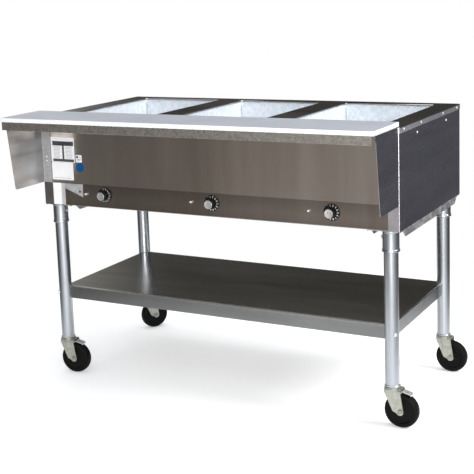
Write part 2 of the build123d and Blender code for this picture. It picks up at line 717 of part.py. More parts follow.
for corner, (leg_x, leg_y) in CORNERS.items():
    nodes[f"{corner}_leg"] = leg(leg_x, leg_y)
    braked = corner in BRAKED
    nodes[f"{corner}_fork"] = place_caster(corner, pedal_fork() if braked else fork())
    nodes[f"{corner}_wheel"] = place_caster(corner, wheel())
    nodes[f"{corner}_axle"] = place_caster(corner, axle())
    if braked:
        nodes[f"{corner}_pedal"] = place_caster(corner, brake_pedal())

boxes = [shape.bounding_box() for shape in nodes.values()]
X_LOW = min(box.min.X for box in boxes)
X_HIGH = max(box.max.X for box in boxes)
Y_LOW = min(box.min.Y for box in boxes)
Y_HIGH = max(box.max.Y for box in boxes)
ORIGIN_X = (X_LOW + X_HIGH) / 2
ORIGIN_Y = (Y_LOW + Y_HIGH) / 2

if __name__ == "__main__":
    os.makedirs("parts", exist_ok=True)
    for name, shape in nodes.items():
        export_step(Pos(-ORIGIN_X, -ORIGIN_Y, 0) * shape, f"parts/{name}.step")
    print("origin", ORIGIN_X, ORIGIN_Y, "nodes", len(nodes))
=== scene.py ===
"""Looks of a mobile three-well steam table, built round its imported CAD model. Metres."""
import json
from math import asin, atan2, cos, degrees, pi, radians, sin

import bmesh
import bpy
from mathutils import Matrix, Vector


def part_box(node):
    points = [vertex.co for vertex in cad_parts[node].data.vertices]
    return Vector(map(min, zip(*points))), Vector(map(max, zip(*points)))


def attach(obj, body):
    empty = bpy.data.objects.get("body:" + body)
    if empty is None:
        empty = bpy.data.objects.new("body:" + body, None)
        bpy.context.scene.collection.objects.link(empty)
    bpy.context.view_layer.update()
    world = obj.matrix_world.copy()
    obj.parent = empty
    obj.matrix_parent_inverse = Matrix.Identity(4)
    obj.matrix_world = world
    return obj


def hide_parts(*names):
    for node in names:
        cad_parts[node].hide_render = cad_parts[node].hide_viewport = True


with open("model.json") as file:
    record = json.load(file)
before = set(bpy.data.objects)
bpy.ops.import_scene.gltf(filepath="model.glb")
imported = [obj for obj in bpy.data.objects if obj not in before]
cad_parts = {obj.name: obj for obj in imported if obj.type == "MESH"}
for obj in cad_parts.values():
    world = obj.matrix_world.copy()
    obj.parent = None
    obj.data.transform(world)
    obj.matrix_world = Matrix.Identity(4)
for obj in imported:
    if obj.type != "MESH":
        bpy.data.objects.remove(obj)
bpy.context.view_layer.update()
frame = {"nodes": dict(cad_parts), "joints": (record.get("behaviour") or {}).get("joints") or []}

NODES = frame["nodes"]
JOINTS = {joint["name"]: joint for joint in frame["joints"]}
CORNERS = ("front_left", "front_right", "rear_left", "rear_right")
BRAKED = CORNERS[:2]
WELLS = (1, 2, 3)
X, Y, Z = range(3)

TOP_LO, TOP_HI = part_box("top_sheet")
LEFT, RIGHT = TOP_LO.x, TOP_HI.x
FRONT, BACK = TOP_LO.y, TOP_HI.y
TOP = TOP_HI.z
MIDDLE_X = (LEFT + RIGHT) / 2
BODY_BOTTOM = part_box("control_panel")[0].z
CREASE_Z = BODY_BOTTOM + 0.073      # where the front panel meets the control strip
SHELF_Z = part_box("undershelf")[1].z
SHEET = 0.0012
HALF_SHEET = SHEET / 2
BEND = 0.0022


def joint_place(name):
    return Vector(JOINTS[name]["pos_m"])


# ---------------- mesh helpers

def link(obj):
    bpy.context.scene.collection.objects.link(obj)
    return obj


def evaluated(obj):
    graph = bpy.context.evaluated_depsgraph_get()
    return bpy.data.meshes.new_from_object(obj.evaluated_get(graph))


def bake_modifiers(obj):
    """Put the modifiers' result into the mesh itself."""
    mesh = evaluated(obj)
    obj.modifiers.clear()
    obj.data = mesh
    return mesh


def curve_mesh(curve):
    obj = link(bpy.data.objects.new("curve", curve))
    mesh = evaluated(obj)
    bpy.data.objects.remove(obj)
    return mesh


def piece(name, bm, material, replaces=(), thickness=0.0, bevel=0.0, angle=32,
          body="cabinet"):
    """Finish a mesh as one visible piece that rides on a body."""
    bmesh.ops.remove_doubles(bm, verts=bm.verts, dist=1e-6)
    bmesh.ops.dissolve_degenerate(bm, edges=bm.edges, dist=1e-7)
    if not thickness:
        bmesh.ops.recalc_face_normals(bm, faces=bm.faces)
    mesh = bpy.data.meshes.new(name)
    bm.to_mesh(mesh)
    bm.free()
    obj = link(bpy.data.objects.new(name, mesh))
    if thickness:
        solid = obj.modifiers.new("thickness", "SOLIDIFY")
        solid.thickness = thickness
        solid.offset = 0
        solid.use_even_offset = True
    if bevel:
        edges = obj.modifiers.new("edges", "BEVEL")
        edges.width = bevel
        edges.segments = 3
        edges.limit_method = "ANGLE"
        edges.angle_limit = radians(40)
    if thickness or bevel:
        mesh = bake_modifiers(obj)
    mesh.shade_smooth()
    mesh.set_sharp_from_angle(angle=radians(angle))
    obj.modifiers.new("normals", "WEIGHTED_NORMAL").keep_sharp = True
    mesh = bake_modifiers(obj)
    mesh.materials.clear()
    mesh.materials.append(material)
    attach(obj, body)
    if replaces:
        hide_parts(*replaces)


def spread(low, high, count):
    return [low + (high - low) * i / count for i in range(count + 1)]


def circle(steps):
    return spread(0, 2 * pi, steps)[:-1]


def quarter(steps):
    return spread(0, pi / 2, steps)


def clamped(value):
    return max(0, min(1, value))


def skin(bm, rings, closed=True, cap_start=False, cap_end=False, wrap=False):
    """Quads between neighbouring rings of points, with the same count in each."""
    rows = [[bm.verts.new(point) for point in points] for points in rings]
    pairs = list(zip(rows, rows[1:]))
    if wrap:
        pairs.append((rows[-1], rows[0]))
    for low, high in pairs:
        count = len(low)
        for i in range(count if closed else count - 1):
            j = (i + 1) % count
            bm.faces.new((low[i], low[j], high[j], high[i]))
    if cap_start:
        bm.faces.new(list(reversed(rows[0])))
    if cap_end:
        bm.faces.new(rows[-1])


def sheet_of(rings):
    """New mesh of one folded sheet, open at its edges."""
    bm = bmesh.new()
    skin(bm, rings, closed=False)
    return bm


def drawn_out(path, axis, places):
    """One ring for each place: the path with that place put in as its X, Y or Z."""
    return [[(*point[:axis], place, *point[axis:]) for point in path] for place in places]


def moved(matrix, rings):
    return [[matrix @ Vector(point) for point in points] for points in rings]


def slab(bm, rings):
    """Solid through a row of outlines, closed at both ends."""
    skin(bm, rings, cap_start=True, cap_end=True)


def ring(matrix, radius, height, steps):
    """Points round local Z. The radius can be a function of the angle."""
    reach = radius if callable(radius) else lambda a: radius
    return [matrix @ Vector((reach(a) * cos(a), reach(a) * sin(a), height)) for a in circle(steps)]


def lathe(bm, profile, matrix, steps, close=False):
    """Turn (radius, height) points about local Z. close joins the last point to the first."""
    rings = [ring(matrix, radius, height, steps) for radius, height in profile]
    skin(bm, rings, cap_start=not close, cap_end=not close, wrap=close)


def rod(radius, low, high):
    """Profile of a plain rod."""
    return [(0.0, low), (radius, low), (radius, high), (0.0, high)]


def arc(centre, radius, start, stop, steps):
    """Points of an arc in a plane, with angles in degrees."""
    return [(centre[0] + radius * cos(radians(a)), centre[1] + radius * sin(radians(a)))
            for a in spread(start, stop, steps)]


def rounded_path(points, radius, steps=5):
    """Open path in a plane with its inner corners rounded."""
    path = [points[0]]
    for before, corner, after in zip(points, points[1:], points[2:]):
        here = Vector(corner)
        into, out = Vector(before) - here, Vector(after) - here
        cut = min(radius, into.length * 0.49, out.length * 0.49)
        start = here + into.normalized() * cut
        end = here + out.normalized() * cut
        for t in spread(0, 1, steps):
            path.append(tuple(start * (1 - t) ** 2 + here * 2 * t * (1 - t) + end * t ** 2))
    return path + [points[-1]]


def dense(path, step=0.016):
    """The same path with its long straight runs divided."""
    result = [path[0]]
    for a, b in zip(path, path[1:]):
        start, run = Vector(a), Vector(b) - Vector(a)
        count = max(1, round(run.length / step))
        result += [tuple(start + run * share) for share in spread(0, 1, count)[1:]]
    return result


def round_rect(low, high, radius, z, steps=6):
    """Closed horizontal loop round a rectangle with rounded corners."""
    near = [place + radius for place in low]
    far = [place - radius for place in high]
    loop = []
    for index, centre in enumerate((far, (near[0], far[1]), near, (far[0], near[1]))):
        loop += arc(centre, radius, 90 * index, 90 * index + 90, steps)
    return [Vector((x, y, z)) for x, y in loop]


def grown_rect(low, high, by, radius, z):
    """The same loop round a rectangle that is bigger on every side."""
    return round_rect([place - by for place in low], [place + by for place in high], radius, z)


def block(bm, low, high, matrix):
    """Box between two corners."""
    size = [b - a for a, b in zip(low, high)]
    middle = [(a + b) / 2 for a, b in zip(low, high)]
    place = matrix @ Matrix.Translation(middle) @ Matrix.Diagonal((*size, 1))
    bmesh.ops.create_cube(bm, size=1, matrix=place)


def filled(outlines, z):
    """Flat mesh between an outer outline and its holes."""
    curve = bpy.data.curves.new("outline", "CURVE")
    curve.dimensions = "2D"
    curve.fill_mode = "BOTH"
    for outline in outlines:
        spline = curve.splines.new("POLY")
        spline.points.add(len(outline) - 1)
        for point, place in zip(spline.points, outline):
            point.co = (place[0], place[1], 0, 1)
        spline.use_cyclic_u = True
    mesh = curve_mesh(curve)
    bm = bmesh.new()
    bm.from_mesh(mesh)
    bpy.data.meshes.remove(mesh)
    for vert in bm.verts:
        vert.co.z = z
    return bm


def hex_head(bm, matrix, radius, height):
    """Hexagon head or nut with chamfered corners, standing on local Z."""
    slab(bm, [ring(matrix, r, z, 6) for r, z in (
        (radius, 0), (radius, height * 0.8), (radius * 0.88, height))])


def facing(place, direction):
    """Matrix that stands local Z on a place, along a direction."""
    turn = Vector((0, 0, 1)).rotation_difference(Vector(direction)).to_matrix().to_4x4()
    return Matrix.Translation(place) @ turn


def islands_of(node):
    """Low and high corners of the separate solids in a CAD node."""
    bm = bmesh.new()
    bm.from_mesh(NODES[node].data)
    bmesh.ops.remove_doubles(bm, verts=bm.verts, dist=1e-6)
    left = set(bm.verts)
    found = []
    while left:
        stack = [left.pop()]
        members = []
        while stack:
            vert = stack.pop()
            members.append(vert.co.copy())
            near = {edge.other_vert(vert) for edge in vert.link_edges} & left
            left -= near
            stack += near
        found.append([Vector([side(p[i] for p in members) for i in range(3)]) for side in (min, max)])
    bm.free()
    return sorted(found, key=lambda pair: tuple(round(v, 4) for v in pair[0]))


# ---------------- materials

class Graph:
    """Short way to build a node tree."""

    def __init__(self, owner):
        owner.use_nodes = True
        self.tree = owner.node_tree
        self.tree.nodes.clear()

    def put(self, value, socket):
        """Link another node's output to a socket, or set the socket's own value."""
        if isinstance(value, bpy.types.NodeSocket):
            self.tree.links.new(value, socket)
        else:
            socket.default_value = solid_colour(value) if socket.type == "RGBA" else value

    def node(self, kind, inputs=None, out=0, **settings):
        made = self.tree.nodes.new("ShaderNode" + kind)
        for key, value in settings.items():
            setattr(made, key, value)
        for key, value in (inputs or {}).items():
            self.put(value, made.inputs[key])
        return made.outputs[out]

    def ramp(self, factor, stops):
        output = self.node("ValToRGB", {0: factor})
        elements = output.node.color_ramp.elements
        while len(elements) < len(stops):
            elements.new(0.5)
        for element, (place, colour) in zip(elements, stops):
            element.position = place
            element.color = solid_colour(colour)
        return output

    def tones(self, factor, dark, light, low=0.3, high=0.7):
        return self.ramp(factor, [(low, dark), (high, light)])

    def mix(self, factor, first, second, mode="MIX"):
        return self.node("Mix", {0: factor, 6: first, 7: second}, 2, data_type="RGBA", blend_type=mode)

    def vector(self, operation, first, second=(0, 0, 0), out=0):
        return self.node("VectorMath", {0: first, 1: second}, out, operation=operation)

    def between(self, value, start, stop, easing="LINEAR"):
        """0 where the value is at start, 1 where it is at stop."""
        return self.node("MapRange", {"Value": value, "From Min": start, "From Max": stop},
                         interpolation_type=easing)


def solid_colour(value):
    """Four numbers from a grey level or from three numbers."""
    return (value, value, value, 1) if isinstance(value, (int, float)) else (*value, 1)


class Shader(Graph):
    """Material round a Principled shader."""

    def __init__(self, name):
        self.material = bpy.data.materials.new(name)
        super().__init__(self.material)
        self.out = self.tree.nodes.new("ShaderNodeOutputMaterial")
        self.bsdf = self.tree.nodes.new("ShaderNodeBsdfPrincipled")
        self.tree.links.new(self.bsdf.outputs[0], self.out.inputs[0])
        self.coords = self.node("TexCoord", out="Object")

    def set(self, **values):
        for key, value in values.items():
            self.put(value, self.bsdf.inputs[key.replace("_", " ")])

    def noise(self, scale, detail=4, roughness=0.55, stretch=(1, 1, 1), turn=0.0):
        place = self.node("Mapping", {"Vector": self.coords, "Scale": stretch, "Rotation": (0, 0, turn)})
        return self.node("TexNoise", {"Vector": place, "Scale": scale, "Detail": detail,
                                      "Roughness": roughness})

    def bump(self, height, strength, distance):
        self.set(Normal=self.node("Bump", {"Height": height, "Strength": strength, "Distance": distance}))


def steel(name, dark, light, grain, rough, bands=None, clouds=None):
    """Brushed sheet steel. grain is small along the brushing and large across it, and clouds is the
    same for the broad patches. bands is a low place, a high place, and painted light and shade, as
    how far the colour is darkened at shares of the way up."""
    s = Shader(name)
    streaks = s.noise(60, 6, 0.7, grain)
    broad = s.noise(2.5, 5, stretch=clouds or [max(1, share) ** 0.5 for share in grain])
    wear = s.noise(30, 8, 0.75)
    colour = s.tones(s.mix(0.35, broad, streaks), dark, light)
    smudge = s.tones(wear, 0.0, 0.10, 0.50, 0.85)
    colour = s.mix(smudge, colour, [c * 0.6 for c in dark])
    # Painted light and shade: the colour is multiplied by a ramp of darkening up the sheet.
    if bands:
        low, high, stops = bands
        height = s.node("SeparateXYZ", {0: s.coords}, "Z")
        colour = s.mix(1.0, colour, s.ramp(s.between(height, low, high), stops), "MULTIPLY")
    s.set(Base_Color=colour, Metallic=1.0, Roughness=s.tones(s.mix(0.4, streaks, wear), *rough),
          Anisotropic=0.5, Anisotropic_Rotation=0.25)
    s.bump(streaks, 0.08, 0.0003)
    return s.material


def galvanised(name, dark, light, cell, metallic=0.85, rough=(0.32, 0.5)):
    """Hot-dip zinc with crystal spangles."""
    s = Shader(name)
    wobble = s.node("VectorMath", {0: s.noise(30, 2), "Scale": 0.006}, operation="SCALE")
    cells = s.node("TexVoronoi", {"Vector": s.vector("ADD", s.coords, wobble), "Scale": cell}, out=1)
    grey = s.node("SeparateColor", {0: cells})
    fine = s.noise(240, 5)
    tone = s.mix(0.45, s.mix(0.4, grey, s.noise(5, 3)), fine)
    roughness = s.tones(s.mix(0.4, grey, fine), *rough, 0.2, 0.8)
    s.set(Base_Color=s.tones(tone, dark, light, 0.30, 0.68), Metallic=metallic, Roughness=roughness)
    s.bump(s.mix(0.3, grey, fine), 0.12, 0.0003)
    return s.material


def speckled(name, dark, light, rough, broad, fine, share=0.3, stops=(0.3, 0.7), rough_share=0.0,
             bump=(0.1, 0.0002), **settings):
    """Surface with two sizes of speckle. broad and fine are each a scale, a detail, a roughness and a
    stretch, of which the last two can be left out. share says how far the colour follows the fine
    one, rough_share how far the roughness does."""
    s = Shader(name)
    broad, fine = s.noise(*broad), s.noise(*fine)
    s.set(Base_Color=s.tones(s.mix(share, broad, fine), dark, light, *stops),
          Roughness=s.tones(s.mix(rough_share, broad, fine), *rough), **settings)
    s.bump(fine, *bump)
    return s.material


def zinc_plate(name, dark, light):
    """Zinc plating on pressed steel."""
    return speckled(name, dark, light, (0.34, 0.52), (70, 6, 0.7), (600, 3), Metallic=0.9)


def zinc_tube():
    """Galvanised tube: drawn lines along Z, faint runs and dull patches."""
    return speckled("leg_zinc", (0.325, 0.35, 0.375), (0.465, 0.49, 0.52), (0.24, 0.33),
                    (11, 5, 0.6, (1, 1, 0.3)), (90, 5, 0.55, (1, 1, 0.02)), 0.5, (0.28, 0.72),
                    bump=(0.05, 0.0002), Metallic=1.0)


def spun_cap():
    """Spun aluminium disc with fine rings, on the ends of the knobs."""
    return speckled("cap_metal", (0.70, 0.70, 0.71), (0.93, 0.93, 0.94), (0.22, 0.38), (120, 4),
                    (700, 3, 0.55, (0.3, 1, 1)), 0.5, rough_share=1.0, bump=(0.1, 0.0001), Metallic=1.0)


def rubber():
    """Black moulded wheel with uneven dust."""
    return speckled("wheel_rubber", 0.003, (0.010, 0.0095, 0.0085), (0.38, 0.62), (40, 7, 0.7), (500, 4),
                    stops=(0.35, 0.75), bump=(0.2, 0.0003), Specular_IOR_Level=0.06)


def fibre():
    """Yellow glass-fibre board."""
    return speckled("insulation", (0.42, 0.34, 0.14), (0.74, 0.66, 0.36), (0.8, 0.98), (18, 4),
                    (260, 8, 0.8, (1, 0.3, 1)), 0.5, rough_share=1.0, bump=(0.6, 0.002))


def element_black():
    """Sheath of a heating element, oxidised unevenly."""
    oxide = (90, 6, 0.7)
    return speckled("element_sheath", (0.035, 0.030, 0.028), (0.12, 0.095, 0.08), (0.4, 0.62), oxide,
                    oxide, bump=(0.2, 0.0003), Metallic=0.7)


def plastic(name, dark, light, rough, grain=900, coat=0.0, strength=0.12, specular=0.5):
    """Moulded plastic or paint with a fine grain and faint handling marks."""
    return speckled(name, dark, light, rough, (24, 5, 0.65), (grain, 3), rough_share=0.5,
                    bump=(strength, 0.0002), Coat_Weight=coat, Specular_IOR_Level=specular)


def poly_board():
    """White polyethylene with fine knife marks along its top, which is painted far darker than the edges as
    shade.
    """
    s = Shader("poly_board")
    cuts = s.noise(14, 8, 0.8, (1.2, 60, 60), 0.12)
    cross = s.noise(9, 7, 0.8, (70, 2, 70), -0.3)
    marks = s.tones(s.node("Math", {0: cuts, 1: cross}, operation="MAXIMUM"), 0.0, 1.0, 0.66, 0.80)
    cloud = s.noise(7, 5)
    upward = s.node("SeparateXYZ", {0: s.node("TexCoord", out="Normal")}, "Z")
    # Painted shade: upward faces get a much darker colour than the edges.
    top = s.tones(cloud, (0.375, 0.39, 0.43), (0.44, 0.455, 0.495))
    edge = s.tones(cloud, (0.84, 0.845, 0.86), (0.90, 0.905, 0.92))
    faint = s.node("Math", {0: marks, 1: 0.22}, operation="MULTIPLY")
    shaded_scored_top = s.mix(faint, top, (0.36, 0.37, 0.40))
    s.set(Base_Color=s.mix(s.between(upward, 0.55, 0.95), edge, shaded_scored_top),
          Roughness=s.tones(marks, 0.36, 0.55, 0.0, 1.0), Subsurface_Weight=0.04)
    s.bump(marks, 0.25, -0.0002)
    return s.material


ALONG_X, ALONG_Y, ALONG_Z = (1.2, 40, 60), (40, 1.2, 60), (40, 40, 1.2)
ROLLED = (4, 1, 0.35)
# Painted shade on the front panel: darker towards its top, under the work shelf's apron.
FACE_SHADE_BANDS = (CREASE_Z, TOP, [(0.0, 1.0), (0.80, 0.95), (0.93, 0.88), (1.0, 0.74)])
# Painted shade on the control strip: darker at its bottom bend and just below the crease.
STRIP_SHADE_BANDS = (BODY_BOTTOM, CREASE_Z, [(0.0, 0.80), (0.18, 0.97), (0.42, 1.0), (0.75, 0.86), (1.0, 0.78)])
# Painted shade and reflection streaks on the left bracket's wing: almost black at the top under the work
# shelf, with light and dark streaks across it.
WING_SHADE_BANDS = (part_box("left_bracket")[0].z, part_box("work_shelf")[0].z, [
    (0.0, 0.92), (0.11, 0.80), (0.22, 1.0), (0.37, 0.92), (0.48, 0.82), (0.54, 0.66), (0.60, 0.88),
    (0.71, 0.86), (0.77, 0.62), (0.83, 0.56), (0.89, 0.64), (0.95, 0.50), (1.0, 0.15)])
# Painted shade on the undershelf: its turned-down edges darker than its top.
SKIRT_SHADE = (0.355, 0.365, 0.38)
LOWER_SHADE_BANDS = (0, SHELF_Z, [(0.0, SKIRT_SHADE), (0.982, SKIRT_SHADE), (0.998, 1.0), (1.0, 1.0)])
FRONT_STEEL = steel("stainless_front", (0.29, 0.262, 0.235), (0.47, 0.43, 0.395), ALONG_X, (0.15, 0.23),
                    FACE_SHADE_BANDS, ROLLED)
# The control strip takes a darker copy of the front panel's steel, as painted shade.
STRIP_SHADED_STEEL = steel("stainless_strip_shaded", (0.207, 0.183, 0.165), (0.339, 0.304, 0.277), ALONG_X, (0.15, 0.23),
                    STRIP_SHADE_BANDS, ROLLED)
SIDE_STEEL = steel("stainless_side", (0.39, 0.385, 0.415), (0.64, 0.635, 0.68), ALONG_Y, (0.2, 0.3))
# The left end panel takes a darker copy of the right one's steel: painted shade.
LEFT_SHADED_STEEL = steel("stainless_left_shaded", (0.26, 0.245, 0.235), (0.44, 0.42, 0.41), ALONG_Y, (0.2, 0.3))
TOP_STEEL = steel("stainless_top", (0.30, 0.285, 0.28), (0.52, 0.50, 0.49), (1.2, 60, 60), (0.14, 0.24))
# The top sheet's skirt takes a lighter copy of the top's steel: painted light on the same sheet.
SKIRT_LIT_STEEL = steel("stainless_skirt_lit", (0.56, 0.55, 0.58), (0.84, 0.83, 0.87), ALONG_Y, (0.42, 0.56))
WING_STEEL = steel("stainless_wing", (0.40, 0.395, 0.39), (0.555, 0.55, 0.545), (30, 1.2, 40), (0.33, 0.45),
                   WING_SHADE_BANDS, (1, 0.5, 5))
LOWER_STEEL = steel("stainless_lower", (0.44, 0.435, 0.415), (0.66, 0.655, 0.63), (1, 50, 60), (0.14, 0.24),
                    LOWER_SHADE_BANDS)
BRIGHT_STEEL = steel("stainless_bright", (0.70, 0.71, 0.72), (0.90, 0.91, 0.92), ALONG_Z, (0.12, 0.2))
INNER_STEEL = steel("stainless_inner", (0.40, 0.39, 0.385), (0.66, 0.65, 0.64), (1.2, 40, 40), (0.34, 0.5))
SHELF_STEEL = galvanised("stainless_shelf", (0.405, 0.39, 0.365), (0.50, 0.485, 0.46), 170, 1.0, (0.25, 0.34))
FLANGE_ZINC = galvanised("galvanised_flange", (0.28, 0.28, 0.29), (0.385, 0.385, 0.40), 120, 0.3, (0.35, 0.5))
TAB_ZINC = galvanised("galvanised_tab", (0.36, 0.36, 0.375), (0.49, 0.49, 0.505), 120, 0.3, (0.35, 0.5))
LINER_ZINC = galvanised("galvanised_liner", (0.68, 0.73, 0.78), (0.85, 0.88, 0.91), 110, 0.30)
CHANNEL_ZINC = galvanised("galvanised_channel", 0.40, 0.62, 60)
# Painted reflection: the corner cover is flat white for glare on it, and its last part a greyer copy as
# painted shade at its fold.
COVER_GLARE = galvanised("cover_painted_glare", 0.86, 0.93, 200, 0.0, (0.3, 0.4))
COVER_GLARE_EDGE = galvanised("cover_painted_glare_edge", (0.50, 0.50, 0.51), (0.62, 0.62, 0.63), 200, 0.3, (0.3, 0.4))
TUBE_ZINC = zinc_tube()
CASTER_ZINC = zinc_plate("caster_zinc", (0.23, 0.235, 0.20), (0.49, 0.50, 0.445))
AXLE_ZINC = zinc_plate("axle_zinc", (0.20, 0.20, 0.175), (0.36, 0.36, 0.32))
# The pedals take a lighter copy of the caster zinc: painted highlight.
PEDAL_LIT_ZINC = zinc_plate("pedal_zinc_lit", (0.50, 0.50, 0.49), (0.78, 0.78, 0.77))
SCREW_METAL = zinc_plate("fastener", 0.55, 0.82)
DARK_SCREW = zinc_plate("fastener_dark", (0.07, 0.065, 0.06), (0.16, 0.15, 0.14))
CAP_METAL = spun_cap()
BOARD = poly_board()
KNOB_BLACK = plastic("black_plastic", (0.003, 0.003, 0.004), (0.011, 0.011, 0.012), (0.24, 0.38),
                     specular=0.22)
MARK_WHITE = plastic("dial_marks", (0.74, 0.74, 0.73), (0.86, 0.86, 0.85), (0.4, 0.55))
SWITCH = plastic("switch_plastic", (0.012, 0.012, 0.014), (0.04, 0.04, 0.044), (0.45, 0.6))
LENS = plastic("lens", (0.66, 0.61, 0.52), (0.84, 0.79, 0.70), (0.16, 0.26), 200, 0.4, 0.04)
PLATE = plastic("plate_white", (0.74, 0.745, 0.77), (0.88, 0.885, 0.905), (0.35, 0.5), 300, 0.2, 0.05)
PLATE_GREY = plastic("plate_grey", (0.34, 0.345, 0.355), (0.46, 0.465, 0.475), (0.35, 0.5), 300)
PLATE_BLUE = plastic("plate_blue", (0.002, 0.05, 0.17), (0.008, 0.085, 0.25), (0.4, 0.5), 300, specular=0.05)
PLATE_INK = plastic("plate_ink", (0.03, 0.03, 0.036), (0.07, 0.07, 0.08), (0.4, 0.55), 300)
GLAND = plastic("gland_plastic", 0.014, 0.045, (0.4, 0.6))
RUBBER = rubber()
FIBRE = fibre()
ELEMENT = element_black()

# ---------------- cabinet

OPENING_W, OPENING_D, OPENING_R = 0.302, 0.505, 0.008
RIM_DEPTH = 0.006


def middle_of(node):
    low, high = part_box(node)
    return (low + high) / 2


def outer_inner(low, high, side):
    """Outer and inner X of a box on the left (-1) or the right (1) of the cabinet."""
    return (high.x, low.x) if side > 0 else (low.x, high.x)


def opening_loop(number, by, z):
    middle = middle_of(f"well_liner_{number}")
    low = (middle.x - OPENING_W / 2, middle.y - OPENING_D / 2)
    high = (middle.x + OPENING_W / 2, middle.y + OPENING_D / 2)
    return grown_rect(low, high, by, OPENING_R + by, z)


def top_edge(inset, z):
    """Open path round the left, the back and the right of the top sheet."""
    radius = 0.0045 - inset
    low_x, high_x, high_y = LEFT + inset, RIGHT - inset, BACK - inset
    path = [(low_x, FRONT)]
    path += arc((low_x + radius, high_y - radius), radius, 180, 90, 5)
    path += arc((high_x - radius, high_y - radius), radius, 90, 0, 5)
    path.append((high_x, FRONT))
    return [Vector((x, y, z)) for x, y in path]


def bend_steps(bend, steps):
    """How far in from the outside and how far down, round a quarter bend of the sheet."""
    return [(HALF_SHEET + bend * (1 - sin(t)), HALF_SHEET + bend * (1 - cos(t))) for t in quarter(steps)]


def make_top_sheet():
    steps = bend_steps(BEND, 5)
    first_in, first_down = steps[0]
    holes = [opening_loop(number, first_in, 0) for number in WELLS]
    bm = filled([top_edge(first_in, 0)] + holes, TOP - first_down)
    skin(bm, [top_edge(inset, TOP - down) for inset, down in steps], closed=False)
    for number in WELLS:
        rim = [opening_loop(number, inset, TOP - down) for inset, down in steps]
        skin(bm, rim + [opening_loop(number, HALF_SHEET, TOP - RIM_DEPTH)])
    piece("top_with_openings", bm, TOP_STEEL, ["top_sheet"], SHEET)

    # The skirt is its own piece so that it can take the lighter copy of the sheet's steel, as painted light.
    foot = TOP_LO.z
    levels = ((0.0003, TOP - 0.0027), (0.0003, foot + 0.0034), (0.0004, foot + 0.0028), (0.0010, foot))
    skirt = sheet_of([top_edge(inset, z) for inset, z in levels])
    piece("top_skirt", skirt, SKIRT_LIT_STEEL, thickness=0.0006, angle=12)


def make_well_liner(number):
    node = f"well_liner_{number}"
    low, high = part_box(node)
    sheet, brim, corner, lip, foot = 0.0009, 0.011, 0.012, 0.0018, 0.009
    inset = brim + sheet / 2
    inner_low = (low.x + inset, low.y + inset)
    inner_high = (high.x - inset, high.y - inset)
    top, floor = high.z - sheet / 2, low.z + sheet / 2

    def loop(by, z):
        return grown_rect(inner_low, inner_high, by, max(corner + by, 0.001), z)

    rings = [loop(brim, top)]
    rings += [loop(lip * (1 - sin(t)), top - lip * (1 - cos(t))) for t in quarter(4)]
    rings += [loop(0, top + (floor - top) * share) for share in (0.25, 0.5, 0.75)]
    rings += [loop(-foot * (1 - cos(t)), floor + foot * (1 - sin(t))) for t in quarter(6)]
    bm = bmesh.new()
    skin(bm, rings, cap_end=True)
    piece(f"{node}_pressed", bm, LINER_ZINC, [node], sheet)

    seams = bmesh.new()
    seam_in, seam_gap = 0.0041, 0.012
    length = top - floor - foot - seam_gap
    profile = [(0.0012, 0), (0.0021, 0.004), (0.0021, length - 0.004), (0.0012, length)]
    for x in (inner_low[0] + seam_in, inner_high[0] - seam_in):
        for y in (inner_low[1] + seam_in, inner_high[1] - seam_in):
            lathe(seams, profile, Matrix.Translation((x, y, floor + foot)), 12)
    piece(f"{node}_corner_welds", seams, BRIGHT_STEEL)


def slack(x, z, size=0.00028):
    """Gentle waves of thin sheet."""
    return size * (sin(9.1 * x + 1.3) * cos(7.3 * z + 0.4) + 0.55 * sin(23 * x + 5 * z) + 0.3 * sin(41 * x))


def make_front_sheet(name, node, path, material):
    """Folded front sheet: a (y, z) path drawn out along X, with slack in its face."""
    low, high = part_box(node)
    rings = []
    for x in spread(low.x, high.x, 72):
        ends = min(1, (x - low.x) / 0.06, (high.x - x) / 0.06)
        holds = [clamped(min(z - low.z, high.z - z) / 0.04) for y, z in path]
        rings.append([(x, y + slack(x, z) * hold * ends, z) for (y, z), hold in zip(path, holds)])
    piece(name, sheet_of(rings), material, [node], SHEET)


def make_front():
    low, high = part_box("front_panel")
    face, top = low.y + HALF_SHEET, high.z - HALF_SHEET
    path = dense(rounded_path([(high.y, top), (face, top), (face, low.z + 0.0004)], 0.002))
    path += [(face + 0.0006, low.z), (face + 0.0006, low.z - 0.0001)]
    make_front_sheet("front_face", "front_panel", path, FRONT_STEEL)

    low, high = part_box("control_panel")
    face, bottom = low.y + HALF_SHEET, low.z + HALF_SHEET
    path = dense(rounded_path([(face, high.z), (face, bottom), (high.y, bottom)], 0.0024))
    make_front_sheet("control_strip", "control_panel", path, STRIP_SHADED_STEEL)


def make_end_panel(side, name):
    low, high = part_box(f"{name}_end_panel")
    outer, inner = outer_inner(low, high, side)
    face = outer - side * HALF_SHEET
    front, back = low.y + HALF_SHEET, high.y - SHEET - HALF_SHEET
    path = dense(rounded_path([(inner, back), (face, back), (face, front), (inner, front)], 0.0022), 0.03)
    rings = []
    for z in spread(low.z, high.z, 12):
        rings.append([])
        for x, y in path:
            wave = slack(y, z, 0.0002) * clamped(min(y - front, back - y) / 0.05)
            rings[-1].append((x - side * wave if abs(x - face) < 1e-6 else x, y, z))
    # The left panel's darker copy of the steel is painted shade.
    material = SIDE_STEEL if side > 0 else LEFT_SHADED_STEEL
    piece(f"{name}_end", sheet_of(rings), material, [f"{name}_end_panel"], SHEET)


